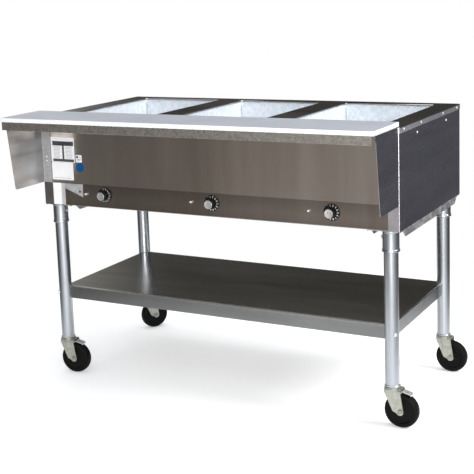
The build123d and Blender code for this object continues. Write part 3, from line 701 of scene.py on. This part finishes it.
def make_bracket(side, name):
    node = f"{name}_bracket"
    low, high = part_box(node)
    outer, inner = outer_inner(low, high, side)
    sheet, bend, toe, tab_width = 0.0015, 0.002, 0.028, 0.0235
    face, back, top = outer - side * sheet / 2, high.y - sheet / 2, high.z - sheet / 2
    rear, crest = back - bend, top - bend
    wing = [(rear, low.z), (low.y + toe, low.z), (low.y, crest), (rear, crest)]
    bm = bmesh.new()
    bm.faces.new([bm.verts.new((face, y, z)) for y, z in rounded_path(wing, 0.006, 6)])
    # X round the bend, and how far short of the back or the top it is there.
    fold = [(face - side * bend * (1 - cos(t)), bend * (1 - sin(t))) for t in quarter(4)]
    flange = [(x, back - short) for x, short in fold] + [(inner, back)]
    piece(f"{name}_bracket_flange", sheet_of(drawn_out(flange, Z, (low.z, crest))), FLANGE_ZINC,
          thickness=sheet)
    tab = [(x, top - short) for x, short in fold] + [(face - side * tab_width, top)]
    skin(bm, drawn_out(tab, Y, (low.y + 0.004, rear)), closed=False)
    # The left wing's steel carries painted shade and reflection streaks; the right wing takes the end panel's
    # steel.
    piece(f"{name}_shelf_bracket", bm, SIDE_STEEL if side > 0 else WING_STEEL, [node], sheet)


def make_work_shelf():
    low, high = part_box("work_shelf")
    sheet, lip_in = 0.0015, 0.032
    half = sheet / 2
    front, back, top, bottom = low.y + half, high.y - half, high.z - half, low.z + half
    path = rounded_path([(high.y, top), (front, top), (front, bottom), (low.y + 0.012, bottom)], 0.0006, 3)
    bm = sheet_of(drawn_out(path, X, spread(low.x, high.x, 24)))
    lip = rounded_path([(high.y - 0.006, top - 0.0004), (back, top - 0.0004), (back, top - 0.0135)], 0.002)
    skin(bm, drawn_out(lip, X, (low.x + lip_in, high.x - lip_in)), closed=False)
    piece("work_shelf_folded", bm, SHELF_STEEL, ["work_shelf"], sheet)


def make_board():
    low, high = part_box("cutting_board")
    bm = bmesh.new()
    slab(bm, [round_rect(low, high, 0.005, z) for z in (low.z, high.z)])
    piece("work_board", bm, BOARD, ["cutting_board"], bevel=0.0016, body="cutting_board")


# ---------------- plates, screws and trim

def screw_head(bm, place, direction):
    """Pan head with a cross recess cut down to its rim."""
    radius, height, steps = 0.0036, 0.0016, 24
    matrix = facing(place, direction)
    outline = ((1.0, 0), (1.0, 0.35), (0.93, 0.65), (0.78, 0.88), (0.52, 1.0))
    rings = [ring(matrix, radius * share, height * rise, steps) for share, rise in outline]
    recess = ring(matrix, lambda a: radius * (0.14 + 0.32 * abs(cos(2 * a)) ** 3), height * 0.98, steps)
    middle = matrix @ Vector((0, 0, height))
    sunk = matrix @ Vector((0, 0, height * 0.35))
    slab(bm, rings + [recess, [sunk + (point - middle) * 0.7 for point in recess]])


def make_cabinet_screws():
    bm = bmesh.new()
    for low, high in islands_of("cabinet_screws"):
        size = high - low
        axis = min(range(3), key=lambda i: size[i])
        seat = (low + high) / 2
        outward = 1 if seat[axis] > (MIDDLE_X, (FRONT + BACK) / 2)[axis] else -1
        direction = Vector((0, 0, 0))
        direction[axis] = outward
        seat[axis] = (low if outward > 0 else high)[axis]
        screw_head(bm, seat, direction)
    piece("panel_screws", bm, SCREW_METAL, ["cabinet_screws"], angle=40)


def make_socket_screws():
    height = 0.0032
    bm = bmesh.new()
    for low, high in islands_of("socket_screws"):
        seat = (low + high) / 2
        outward = 1 if seat.x < MIDDLE_X else -1
        seat.x = (high if outward > 0 else low).x - outward * height
        hex_head(bm, facing(seat, (outward, 0, 0)), 0.0048, height)
    piece("socket_set_screws", bm, SCREW_METAL, ["socket_screws"], bevel=0.0003)


def flat_plate(bm, low, high, face, depth, radius=0.002):
    """Thin plate on the front panel, with rounded corners, between two (x, z) corners."""
    loop = round_rect(low, high, radius, 0, 4)
    slab(bm, [[(point.x, y, point.y) for point in loop] for y in (face + depth, face)])


def make_plates():
    """Blank plates: a pale field, a coloured band and plain ruled rows, with nothing written."""
    boxes = islands_of("blank_plates")
    face, thick, proud = boxes[0][0].y, 0.0005, 0.00012
    seal_width, wide_from = 0.030, 0.05
    fields, grey, ink, seal = (bmesh.new() for _ in range(4))

    def width(box):
        return box[1].x - box[0].x

    def field(box):
        low, high = box
        flat_plate(fields, (low.x, low.z), (high.x, high.z), low.y, thick)

    def bar(target, box, across, up):
        """Ruled bar, at shares of a plate's width and height."""
        low, high = box
        corners = [(low.x + (high.x - low.x) * a, low.z + (high.z - low.z) * u) for a, u in zip(across, up)]
        flat_plate(target, *corners, face - proud, proud, 0.0003)

    upper, lower = sorted((box for box in boxes if width(box) > wide_from), key=lambda box: -box[1].z)
    field(upper)
    field(lower)
    bar(ink, upper, (0.07, 0.97), (0.66, 0.84))
    bar(ink, upper, (0.07, 0.97), (0.02, 0.13))
    bar(ink, upper, (0.48, 0.56), (0.13, 0.66))
    for row in range(3):
        level = 0.805 - row * 0.05
        bar(fields, upper, (0.16 + 0.05 * row, 0.86 - 0.04 * row), (level, level + 0.014))
    for row in range(9):
        level = 0.60 - row * 0.055
        bar(grey, upper, (0.11, 0.42 - 0.03 * (row % 3)), (level, level + 0.020))
        bar(grey, upper, (0.62, 0.92 - 0.04 * (row % 2)), (level, level + 0.020))
    bar(grey, lower, (0.10, 0.90), (0.10, 0.125))
    for box in boxes:
        if width(box) > wide_from:
            continue
        if abs(width(box) - seal_width) < 0.002:
            low, high = box
            place = facing(((low.x + high.x) / 2, high.y, (low.z + high.z) / 2), (0, -1, 0))
            lathe(seal, [(0.0, 0), (0.0149, 0), (0.015, 0.0004), (0.0148, thick), (0.0, thick)], place, 48)
            for inner, outer, steps in ((0.0118, 0.0124, 48), (0.0052, 0.0060, 40)):
                band = [(inner, thick), (outer, thick), (outer, thick + proud), (inner, thick + proud)]
                lathe(seal, band, place, steps, close=True)
        else:
            field(box)
            bar(ink, box, (0.10, 0.42), (0.56, 0.88))
            bar(grey, box, (0.55, 0.90), (0.60, 0.68))
            for row in range(2):
                bar(ink, box, (0.14, 0.86 - 0.16 * row), (0.36 - row * 0.18, 0.42 - row * 0.18))
    piece("plate_fields", fields, PLATE, ["blank_plates"])
    piece("plate_grey_bands", grey, PLATE_GREY)
    piece("plate_rules", ink, PLATE_INK)
    piece("round_seal", seal, PLATE_BLUE)


def make_corner_trim():
    low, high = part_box("corner_cover")
    fold = low.x + (high.x - low.x) * 0.70
    face, crease = low.y + 0.0006, low.y + 0.0004
    span = (low.z, high.z)
    # The cover's white strip is painted glare, and its edge past the fold a greyer copy as painted shade.
    strip = [(low.x, face), (fold - 0.002, face), (fold, crease)]
    edge = [(fold, crease), (fold + 0.001, face), (high.x, face)]
    piece("corner_cover_strip", sheet_of(drawn_out(strip, Z, span)), COVER_GLARE, ["corner_cover"], 0.0007)
    piece("corner_cover_edge", sheet_of(drawn_out(edge, Z, span)), COVER_GLARE_EDGE, thickness=0.0007)

    low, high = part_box("corner_tab")
    head, sheet, cut_rise = 0.0016, 0.0009, 0.026
    face = low.y + head
    cut_x = high.x - (high.x - low.x) * 0.014
    outline = [(low.x, high.z), (high.x, high.z), (cut_x, low.z), (low.x, low.z + cut_rise)]
    tab = bmesh.new()
    slab(tab, drawn_out(rounded_path(outline, 0.002, 3), Y, (face + sheet, face)))
    piece("corner_tab_cut", tab, TAB_ZINC, ["corner_tab"], bevel=0.0002)
    screw = bmesh.new()
    hex_head(screw, facing((high.x - 0.012, face, low.z + 0.018), (0, -1, 0)), 0.0042, head)
    piece("corner_tab_screw", screw, DARK_SCREW, bevel=0.0002)


# ---------------- controls

def digits(text, size):
    """Flat mesh of a number, centred on the origin in X and Y."""
    curve = bpy.data.curves.new("digits", "FONT")
    curve.body = text
    curve.size = size
    curve.align_x = "CENTER"
    curve.align_y = "CENTER"
    curve.resolution_u = 3
    curve.offset = size * 0.022
    curve.extrude = 0.00004
    return curve_mesh(curve)


def make_knob(number):
    body = f"control_knob_{number}"
    place = joint_place(f"knob_{number}_turn")
    low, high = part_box(f"knob_{number}")
    back = place.y - 0.0005
    matrix = facing((place.x, back, place.z), (0, -1, 0))
    edge = (high.z - low.z) / 2
    skirt, grip = 0.003, back - low.y       # heights of the skirt and the grip
    crown = 0.0160                          # radius at which the skirt starts to slope
    bm = bmesh.new()
    lathe(bm, [(0.0, 0.0), (edge - 0.0006, 0.0), (edge, 0.0006), (edge, 0.0014), (edge - 0.0005, 0.0021),
               (edge - 0.0014, 0.0025), (crown, skirt), (0.0145, skirt), (0.0, skirt)], matrix, 96)

    def fluted(radius, depth, height):
        return ring(matrix, lambda a: radius - 0.00055 * depth * (0.5 + 0.5 * cos(18 * a)) ** 2, height, 144)

    skin(bm, [fluted(*row) for row in (
        (0.0144, 0.0, skirt - 0.0008), (0.0141, 0.2, skirt + 0.0006), (0.0140, 1.0, skirt + 0.002),
        (0.0135, 1.0, grip - 0.003), (0.0133, 0.6, grip - 0.0012), (0.0129, 0.1, grip - 0.0003),
        (0.0124, 0.0, grip), (0.01205, 0.0, grip), (0.01205, 0.0, grip - 0.0010), (0.0, 0.0, grip - 0.0010))])
    lathe(bm, rod(0.003, -0.017, 0.0), matrix, 24)
    piece(f"knob_{number}_moulding", bm, KNOB_BLACK, [f"knob_{number}"], angle=38,
          body=body)

    cap = bmesh.new()
    seat = grip - 0.0010
    lathe(cap, [(0.0, seat), (0.0117, seat), (0.0119, grip + 0.00005), (0.0126, grip + 0.00005),
                (0.0129, grip + 0.0003), (0.0125, grip + 0.0006), (0.0112, grip + 0.0006),
                (0.0105, grip + 0.00025), (0.0030, grip + 0.0002), (0.0, grip + 0.0002)], matrix, 72)
    piece(f"knob_{number}_cap_disc", cap, CAP_METAL, [f"knob_cap_{number}"], body=body)

    marks = bmesh.new()
    slope = 0.0005 / (edge - 0.0014 - crown)
    first, last, count = 125, -125, 10
    tick, half_long, half_wide = 0.0232, 0.0006, 0.0004
    digit = crown + 0.0026
    for index, angle in enumerate(spread(first, last, count)):
        turn = matrix @ Matrix.Rotation(radians(angle), 4, "Z")
        seat = turn @ Matrix.Translation((tick, 0, skirt - slope * (tick - crown)))
        seat = seat @ Matrix.Rotation(atan2(slope, 1), 4, "Y")
        block(marks, (-half_long, -half_wide, -0.0001), (half_long, half_wide, 0.00005), seat)
        if index:
            mesh = digits(str(index), 0.0074)
            seat = turn @ Matrix.Translation((digit, 0, skirt - slope * (digit - crown) + 0.00005))
            mesh.transform(seat @ Matrix.Rotation(-pi / 2, 4, "Z"))
            marks.from_mesh(mesh)
            bpy.data.meshes.remove(mesh)
    pointer = matrix @ Matrix.Rotation(radians(first), 4, "Z")
    block(marks, (0.0139, -0.0006, skirt), (0.01425, 0.0006, grip - 0.003), pointer)
    piece(f"knob_{number}_marks", marks, MARK_WHITE, body=body)


def make_pilot_lights():
    bezel, lens = bmesh.new(), bmesh.new()
    ring_profile = [(0.0033, 0.0), (0.0060, 0.0), (0.0060, 0.0006), (0.0054, 0.0011), (0.0038, 0.0012),
                    (0.0033, 0.0010)]
    radius, straight, rise = 0.0032, 0.0064, 0.0025
    dome = [(0.0, -0.018), (0.0030, -0.018), (0.0030, 0.0), (radius, 0.0008), (radius, straight)]
    dome += [(radius * cos(t), straight + rise * sin(t)) for t in spread(0.25, pi / 2, 8)[:-1]]
    dome.append((0.0, straight + rise))
    for low, high in islands_of("pilot_lights"):
        matrix = facing(((low.x + high.x) / 2, low.y + 0.009, (low.z + high.z) / 2), (0, -1, 0))
        lathe(bezel, ring_profile, matrix, 48, close=True)
        lathe(lens, dome, matrix, 48)
    piece("pilot_bezels", bezel, STRIP_SHADED_STEEL)
    piece("pilot_lenses", lens, LENS, ["pilot_lights"])


# ---------------- legs and undershelf

LEGS = {corner: tuple(middle_of(f"{corner}_leg").xy) for corner in CORNERS}
LEG_LOW, LEG_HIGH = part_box("front_left_leg")
LEG_R = (LEG_HIGH.x - LEG_LOW.x) / 2


def make_leg_channel(name):
    node = f"{name}_leg_channel"
    low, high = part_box(node)
    sheet, least_depth = 0.002, 0.0035
    flange, slope = 0.022, 0.028
    left, right, web = low.x + sheet / 2, high.x - sheet / 2, high.z - sheet / 2
    steps = [0, flange, flange + 0.002] + spread(flange + 0.006, flange + slope, 4)
    clear = flange + slope + 0.02
    stations = [low.y + step for step in steps] + spread(low.y + clear, high.y - clear, 8)
    stations += [high.y - step for step in reversed(steps)]
    rings = []
    for y in stations:
        share = clamped((min(y - low.y, high.y - y) - flange) / slope)
        foot = high.z - max((high.z - low.z) * share, least_depth)
        section = rounded_path([(left, foot), (left, web), (right, web), (right, foot)], 0.003)
        rings += drawn_out(section, Y, [y])
    piece(f"{name}_channel", sheet_of(rings), CHANNEL_ZINC, [node], sheet)


def make_sockets():
    low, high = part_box("leg_sockets")
    outer = (high.x - low.x) / 2 - LEGS["front_right"][0] / 2 + LEGS["front_left"][0] / 2
    waist = outer - 0.0016
    floor = low.z - high.z
    bore = LEG_R + 0.00015
    profile = [
        (0.0, 0.0), (outer, 0.0), (outer, -0.0030), (outer - 0.0008, -0.0042), (waist, -0.0060),
        (waist, floor + 0.0085), (outer - 0.0008, floor + 0.0070), (outer, floor + 0.0055),
        (outer, floor + 0.0012), (outer - 0.0010, floor), (bore + 0.0008, floor), (bore, floor + 0.0008),
        (bore, -0.003), (0.0, -0.003),
    ]
    bm = bmesh.new()
    for x, y in LEGS.values():
        lathe(bm, profile, Matrix.Translation((x, y, high.z)), 72, close=True)
    piece("leg_socket_cups", bm, TUBE_ZINC, ["leg_sockets"])


def make_leg(corner):
    low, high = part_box(f"{corner}_leg")
    bore, length = LEG_R - 0.00165, high.z - low.z
    profile = [(bore, 0.0), (LEG_R - 0.0005, 0.0), (LEG_R, 0.0006)]
    profile += [(LEG_R, height) for height in spread(0.002, length - 0.002, 8)]
    profile += [(LEG_R, length), (bore, length)]
    bm = bmesh.new()
    lathe(bm, profile, Matrix.Translation((*LEGS[corner], low.z)), 96, close=True)
    piece(f"{corner}_tube", bm, TUBE_ZINC, [f"{corner}_leg"])


def shelf_loop(inset, z):
    """Closed path round the undershelf, hollowed round each leg."""
    radius = LEG_R + 0.00035 + inset
    turn = degrees(asin(inset / radius))
    loop = []
    for corner, start in (("front_right", 90), ("rear_right", 180), ("rear_left", 270), ("front_left", 0)):
        loop += arc(LEGS[corner], radius, start + 90 - turn, start + turn, 12)
    return [Vector((x, y, z)) for x, y in loop]


def make_undershelf():
    low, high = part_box("undershelf")
    steps = bend_steps(0.003, 6)
    bm = filled([shelf_loop(steps[0][0], 0)], high.z - HALF_SHEET)
    loops = [shelf_loop(inset, high.z - down) for inset, down in steps]
    for inset, rise in ((0, 0.0014), (0.0006, HALF_SHEET), (0.0090, HALF_SHEET)):
        loops.append(shelf_loop(HALF_SHEET + inset, low.z + rise))
    skin(bm, loops)
    piece("undershelf_folded", bm, LOWER_STEEL, ["undershelf"], SHEET)


def make_shelf_bolts():
    z = middle_of("undershelf_bolts").z
    middle_y = (LEGS["front_left"][1] + LEGS["rear_left"][1]) / 2
    shank = [(0.0, 0.0), (0.0032, 0.0), (0.0032, 0.0055), (0.0026, 0.0062), (0.0, 0.0062)]
    bm = bmesh.new()
    for x, y in LEGS.values():
        out = Vector((1 if x > MIDDLE_X else -1, 1 if y > middle_y else -1, 0)).normalized()
        centre = Vector((x, y, z))
        inside = facing(centre - out * (LEG_R + 0.0016), -out)
        hex_head(bm, facing(centre + out * (LEG_R - 0.0003), out), 0.0060, 0.0038)
        hex_head(bm, inside, 0.0060, 0.0044)
        lathe(bm, shank, inside, 24)
    piece("shelf_bolts", bm, SCREW_METAL, ["undershelf_bolts"], bevel=0.0003)


# ---------------- casters

FORK_TOP = joint_place("front_left_swivel_turn").z
AXLE = joint_place("front_right_wheel_spin")
TRAIL = AXLE.x - joint_place("front_right_swivel_turn").x
BLADE_Y = 0.01875
BLADE_FOOT = 0.0105         # how far the blades reach below the axle
FORK_SHEET = 0.0025


def make_stems():
    low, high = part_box("caster_stems")
    race = FORK_TOP + 0.0003
    foot = LEG_LOW.z
    height = foot - race
    core = [
        (0.0, high.z), (0.0182, high.z), (0.0189, high.z - 0.0010), (0.0189, foot - height * 0.50),
        (0.0216, foot - height * 0.56), (0.0236, foot - height * 0.66), (0.0238, race + 0.0010),
        (0.0230, race), (0.0060, race), (0.0060, low.z + 0.003), (0.0090, low.z + 0.003),
        (0.0090, low.z), (0.0, low.z),
    ]
    collar = [
        (0.0190, foot - 0.0003), (0.0214, foot - 0.0003), (0.0219, foot - 0.0012),
        (0.0228, foot - height * 0.20), (0.0228, foot - height * 0.30), (0.0219, foot - height * 0.42),
        (0.0204, foot - height * 0.47), (0.0190, foot - height * 0.47),
    ]
    turned, collars = bmesh.new(), bmesh.new()
    for x, y in LEGS.values():
        lathe(turned, core, Matrix.Translation((x, y, 0)), 72)
        lathe(collars, collar, Matrix.Translation((x, y, 0)), 72, close=True)
    piece("caster_stems_turned", turned, CASTER_ZINC, ["caster_stems"])
    piece("caster_collars", collars, BRIGHT_STEEL)


def wheel_axis(corner):
    """Middle of a wheel and the direction of its axle."""
    return joint_place(f"{corner}_wheel_spin"), Vector(JOINTS[f"{corner}_wheel_spin"]["axis"])


def caster_frame(corner):
    """Matrix from the caster's own frame, with its trail along X, to the row frame."""
    axis = wheel_axis(corner)[1]
    place = joint_place(f"{corner}_swivel_turn")
    turn = Matrix.Rotation(atan2(-axis.x, axis.y), 4, "Z")
    return Matrix.Translation((place.x, place.y, 0)) @ turn


def pedal_pivot(corner):
    """Pivot of the brake pedal, in the caster's own frame."""
    return caster_frame(corner).inverted() @ joint_place(f"{corner}_brake_press")


def cross_pin(bm, corner, profile, start, steps, close=False):
    """Turn a profile about the pedal's pivot, from a place along it."""
    matrix, pivot = caster_frame(corner), pedal_pivot(corner)
    place = facing(matrix @ Vector((pivot.x, start, pivot.z)), matrix.to_3x3() @ Vector((0, 1, 0)))
    lathe(bm, profile, place, steps, close)


def blade_span(z):
    """Front and rear edge of a fork blade at a height, in the caster's own frame."""
    toe_x, toe_z = TRAIL - 0.0215, AXLE.z - 0.0005
    shoulder = FORK_TOP - 0.0100
    round_r = 0.0103
    if z >= toe_z:
        share = min(1, (z - toe_z) / (shoulder - toe_z))
        front = toe_x + (-0.0188 - toe_x) * share
    else:
        share = (toe_z - z) / (toe_z - AXLE.z + BLADE_FOOT)
        front = toe_x + (TRAIL - 0.0045 - toe_x) * share ** 0.8 + 0.0016 * sin(pi * share)
    if z < AXLE.z:
        down = min(1, (AXLE.z - z) / 0.0108)
        rear = TRAIL + round_r * (1 - down * down) ** 0.5
    else:
        rear = TRAIL + round_r - 0.0090 * min(1, (z - AXLE.z) / (shoulder - AXLE.z))
    return front, max(rear, front + 0.001)


def fork_rings():
    """Points across the pressed fork, from the foot of one blade over the top to the other's."""
    top, bend = FORK_TOP - FORK_SHEET / 2, 0.005
    path = [(BLADE_Y, AXLE.z - BLADE_FOOT * cos(t)) for t in quarter(8)]
    path += [(BLADE_Y, z) for z in spread(AXLE.z, top - bend, 14)[1:]]
    path += [(BLADE_Y - bend * (1 - cos(t)), top - bend * (1 - sin(t))) for t in quarter(5)[1:]]
    path += [(-y, z) for y, z in reversed(path)]
    for y, z in path:
        front, rear = blade_span(min(z, top))
        dish = 0.0009 * clamped((top - 0.010 - z) / 0.012) * clamped((z - AXLE.z + 0.004) / 0.010)
        points = []
        for across in spread(0, 1, 14):
            edge = min(1, min(across, 1 - across) / 0.22)
            inward = dish * edge * edge * (3 - 2 * edge) * (1 if y > 0 else -1)
            points.append((front + (rear - front) * across, y - inward, z))
        yield points


def make_fork(corner):
    body = f"{corner}_swivel"
    matrix = caster_frame(corner)
    piece(f"{corner}_fork_pressed", sheet_of(moved(matrix, fork_rings())), CASTER_ZINC,
          [f"{corner}_fork"], FORK_SHEET, angle=38, body=body)

    plate = bmesh.new()
    low, high = FORK_TOP - 0.0042, FORK_TOP - 0.0001
    lathe(plate, [(0.0061, low), (0.0225, low), (0.0240, low + 0.0012), (0.0240, FORK_TOP - 0.0010),
                  (0.0232, high), (0.0061, high)], matrix, 72, close=True)
    if corner in BRAKED:
        pivot = pedal_pivot(corner)
        root, ear_r = FORK_TOP - 0.004, 0.0042
        ear = [(pivot.x - 0.010, root), (pivot.x - 0.006, pivot.z - 0.002)]
        ear += arc((pivot.x, pivot.z), ear_r, 210, 360, 8) + [(pivot.x + ear_r, root)]
        for walls in ((-0.0160, -0.0133), (0.0133, 0.0160)):
            slab(plate, moved(matrix, drawn_out(ear, Y, walls)))
        pin = [(0.0, 0.0), (0.0016, 0.0), (0.0020, 0.0004), (0.0020, 0.0326), (0.0016, 0.0330), (0.0, 0.0330)]
        cross_pin(plate, corner, pin, -0.0165, 24)
    piece(f"{corner}_swivel_plate", plate, CASTER_ZINC, body=body)


def make_axle(corner):
    place, axis = wheel_axis(corner)
    outer = BLADE_Y + FORK_SHEET / 2
    bm = bmesh.new()
    lathe(bm, rod(0.004, -outer, outer), facing(place, axis), 32)
    for out in (-axis, axis):
        lathe(bm, rod(0.0069, 0.0, 0.0008), facing(place + out * (outer - 0.0001), out), 40)
        hex_head(bm, facing(place + out * (outer + 0.0007), out), 0.0066, 0.0036)
    piece(f"{corner}_axle_bolt", bm, AXLE_ZINC, [f"{corner}_axle"], bevel=0.0003,
          body=f"{corner}_swivel")


def make_wheel(corner):
    place, axis = wheel_axis(corner)
    radius, half, shoulder = place.z, 0.0155, 0.0418
    rim = [
        (0.00405, 0.0170), (0.0085, 0.0170), (0.0092, 0.0163), (0.0140, 0.0160), (0.0150, 0.0152),
        (0.0152, 0.0122), (0.0165, 0.0112), (0.0230, 0.0108), (0.0234, 0.0114), (0.0244, 0.0114),
        (0.0248, 0.0108), (0.0345, 0.0112), (0.0362, 0.0124), (0.0368, 0.0150), (0.0376, half),
        (0.0392, half), (0.0394, half - 0.0006), (0.0402, half - 0.0006), (0.0404, half),
    ]
    rim += [(shoulder + (radius - shoulder) * sin(t), half * cos(t) ** 0.72) for t in quarter(12)[:-1]]
    mirrored = [(r, -h) for r, h in reversed(rim)]
    bm = bmesh.new()
    lathe(bm, rim + [(radius, 0.0)] + mirrored, facing(place, axis), 128, close=True)
    piece(f"{corner}_wheel_moulded", bm, RUBBER, [f"{corner}_wheel"], angle=40,
          body=f"{corner}_rolling_wheel")


def make_pedal(corner):
    body, slot = f"{corner}_brake", "caster_zinc"
    pivot = pedal_pivot(corner)
    width, reach, sheet, top = 0.013, 0.032, 0.0019, 0.0035
    tilt = Matrix.Translation((pivot.x, 0, pivot.z)) @ Matrix.Rotation(radians(14), 4, "Y")
    matrix = caster_frame(corner) @ tilt
    level = top - sheet / 2
    path = rounded_path([(0.0030, level), (reach * 0.55, level), (reach * 0.80, level),
                         (reach - 0.0012, level - 0.0006), (reach - 0.0010, -0.0018)], 0.004)
    rings = []
    for across in spread(-1, 1, 8):
        half = across * (width - 0.001)
        dish = 0.0004 * (1 - across * across)
        rings.append([(x, half * (1 - 0.10 * max(0, (x / reach - 0.72) / 0.28)), z - dish) for x, z in path])
    # The tread and ribs take the lighter copy of the caster zinc, as painted highlight.
    piece(f"{corner}_pedal_tread", sheet_of(moved(matrix, rings)), PEDAL_LIT_ZINC, [f"{corner}_pedal"], sheet,
          0.0004, body=body)

    ribs = bmesh.new()
    half = width * 0.72
    for step in range(4):
        x = reach * (0.36 + 0.14 * step)
        block(ribs, (x, -half, top - 0.0006), (x + 0.0016, half, top + 0.0001), matrix)
    piece(f"{corner}_pedal_ribs", ribs, PEDAL_LIT_ZINC, bevel=0.0002, body=body)

    barrel = bmesh.new()
    bore, radius, chamfer, length = 0.00206, 0.0035, 0.0004, 2 * width
    profile = [(bore, 0.0), (radius - chamfer, 0.0), (radius, chamfer), (radius, length - chamfer),
               (radius - chamfer, length), (bore, length)]
    cross_pin(barrel, corner, profile, -width, 32, close=True)
    piece(f"{corner}_pedal_barrel", barrel, DARK_SCREW, body=body)


# ---------------- everything in place

make_top_sheet()
for well in WELLS:
    make_well_liner(well)
    make_knob(well)
make_front()
for sign, side_name in ((-1, "left"), (1, "right")):
    make_end_panel(sign, side_name)
    make_bracket(sign, side_name)
    make_leg_channel(side_name)
make_work_shelf()
make_board()
make_cabinet_screws()
make_socket_screws()
make_plates()
make_corner_trim()
make_pilot_lights()
make_sockets()
make_undershelf()
make_shelf_bolts()
make_stems()
for corner_name in CORNERS:
    make_leg(corner_name)
    make_fork(corner_name)
    make_axle(corner_name)
    make_wheel(corner_name)
for corner_name in BRAKED:
    make_pedal(corner_name)

KEPT = {"insulation_boards": FIBRE, "cord_gland": GLAND}
for node_name in ("rear_panel", "bottom_pan", "element_brackets", "terminal_box"):
    KEPT[node_name] = INNER_STEEL
for well in WELLS:
    KEPT[f"heating_element_{well}"] = ELEMENT
    KEPT[f"infinite_switch_{well}"] = SWITCH
for node_name, kept_look in KEPT.items():
    for material_slot in NODES[node_name].material_slots:
        material_slot.material = kept_look

# ---------------- floor, light and camera

# Brightness of the room's walls at degrees from its main light, and patches at an azimuth, from a
# start to a stop in degrees away from it. An azimuth is 0 along +Y and 90 along +X.
MAIN_AZIMUTH = 152
LOBE = (
    (0, (1.20, 1.20, 1.21)), (25, (0.98, 0.98, 0.99)), (42, (0.70, 0.68, 0.66)),
    (47, (0.65, 0.615, 0.585)), (51.2, (0.575, 0.54, 0.51)), (52.6, (0.455, 0.425, 0.40)),
    (55.5, (0.41, 0.385, 0.36)), (58, (0.335, 0.31, 0.288)), (60.5, (0.215, 0.197, 0.183)),
    (62.1, (0.118, 0.108, 0.10)), (63.4, (0.29, 0.275, 0.26)), (68, (0.37, 0.36, 0.35)),
    (71, (0.13, 0.115, 0.105)), (100, (0.11, 0.105, 0.10)), (180, (0.085, 0.085, 0.09)),
)
WALLS = (
    (24, 12, 40, (0.10, 0.10, 0.115)),
    (-26, 8, 18, (0.05, 0.047, 0.042)),
    (-54, 12, 22, (0.38, 0.375, 0.35)),
)
CEILING_START, CEILING_STOP = 24, 64
CEILING = (0.86, 0.90, 0.96)
GROUND_START, GROUND_STOP = -0.30, -0.75
GROUND = (0.30, 0.29, 0.28)


def make_floor():
    """Pale round floor that fades out, so that it has no edge in the picture."""
    bm = bmesh.new()
    skin(bm, [ring(Matrix(), radius, 0, 96) for radius in (0.4, 0.8, 1.2, 1.6, 2.0, 2.6, 3.2)],
         cap_start=True)
    mesh = bpy.data.meshes.new("floor")
    bm.to_mesh(mesh)
    bm.free()
    floor = link(bpy.data.objects.new("floor", mesh))
    s = Shader("pale_floor")
    s.set(Base_Color=s.tones(s.noise(3, 3), 0.93, 0.97), Roughness=0.9, Specular_IOR_Level=0.1,
          Emission_Color=1.0, Emission_Strength=0.3)
    fade = s.between(s.vector("LENGTH", s.coords, out=1), 0.8, 1.6)
    clear = s.node("BsdfTransparent")
    s.put(s.node("MixShader", {0: fade, 1: s.bsdf.outputs[0], 2: clear}), s.out.inputs[0])
    mesh.materials.append(s.material)


def make_world():
    """White behind the object; a soft uneven studio in its reflections."""
    world = bpy.data.worlds.new("studio")
    bpy.context.scene.world = world
    graph = Graph(world)
    direction = graph.node("TexCoord")
    flat = graph.vector("NORMALIZE", graph.vector("MULTIPLY", direction, (1, 1, 0)))
    height = graph.node("SeparateXYZ", {0: direction}, "Z")

    def toward(azimuth):
        """Cosine of the angle from a compass direction."""
        angle = radians(azimuth)
        return graph.vector("DOT_PRODUCT", flat, (sin(angle), cos(angle), 0), 1)

    def soft_mix(value, start, stop, first, second):
        return graph.mix(graph.between(value, start, stop, "SMOOTHSTEP"), first, second)

    stops = [((cos(radians(angle)) + 1) / 2, colour) for angle, colour in reversed(LOBE)]
    shade = graph.ramp(graph.between(toward(MAIN_AZIMUTH), -1, 1), stops)
    for azimuth, start, stop, colour in WALLS:
        shade = soft_mix(toward(azimuth), cos(radians(stop)), cos(radians(start)), shade, colour)
    shade = soft_mix(height, sin(radians(CEILING_START)), sin(radians(CEILING_STOP)), shade, CEILING)
    shade = soft_mix(height, GROUND_START, GROUND_STOP, shade, GROUND)
    seen = graph.mix(graph.node("LightPath"), shade, 1.0)
    output = graph.tree.nodes.new("ShaderNodeOutputWorld")
    graph.put(graph.node("Background", {"Color": seen, "Strength": 1.0}), output.inputs[0])


def soft_light(name, place, target, size, power):
    light = bpy.data.lights.new(name, "AREA")
    light.shape = "RECTANGLE"
    light.size, light.size_y = size
    light.energy = power
    obj = link(bpy.data.objects.new(name, light))
    obj.location = place
    obj.rotation_euler = (Vector(target) - Vector(place)).to_track_quat("-Z", "Y").to_euler()
    obj.visible_camera = False


def make_camera():
    """Camera of the reference view, with its yaw, pitch and roll in degrees."""
    yaw, pitch, roll = 28.217, 9.168, -1.96
    camera = bpy.data.cameras.new("camera")
    camera.sensor_width = 36
    camera.lens = 81.36
    camera.shift_y = -0.169
    camera.clip_end = 50
    obj = link(bpy.data.objects.new("camera", camera))
    matrix = Matrix.Translation((1.5574, -2.9346, 1.2650))
    for angle, axis in ((yaw, "Z"), (90 - pitch, "X"), (roll, "Z")):
        matrix = matrix @ Matrix.Rotation(radians(angle), 4, axis)
    obj.matrix_world = matrix
    bpy.context.scene.camera = obj


make_floor()
make_world()
soft_light("overhead", (-0.2, 0.2, 3.2), (0, 0.1, 0.6), (2.4, 1.6), 30)
soft_light("right_key", (3.0, 0.2, 2.2), (-0.1, 0.1, 0.8), (1.2, 1.2), 95)
soft_light("front_fill", (1.7, -3.2, 0.9), (0, 0, 0.6), (1.6, 1.6), 70)
make_camera()
bpy.context.scene.view_settings.view_transform = "Standard"
bpy.context.scene.view_settings.look = "None"

bpy.context.view_layer.update()
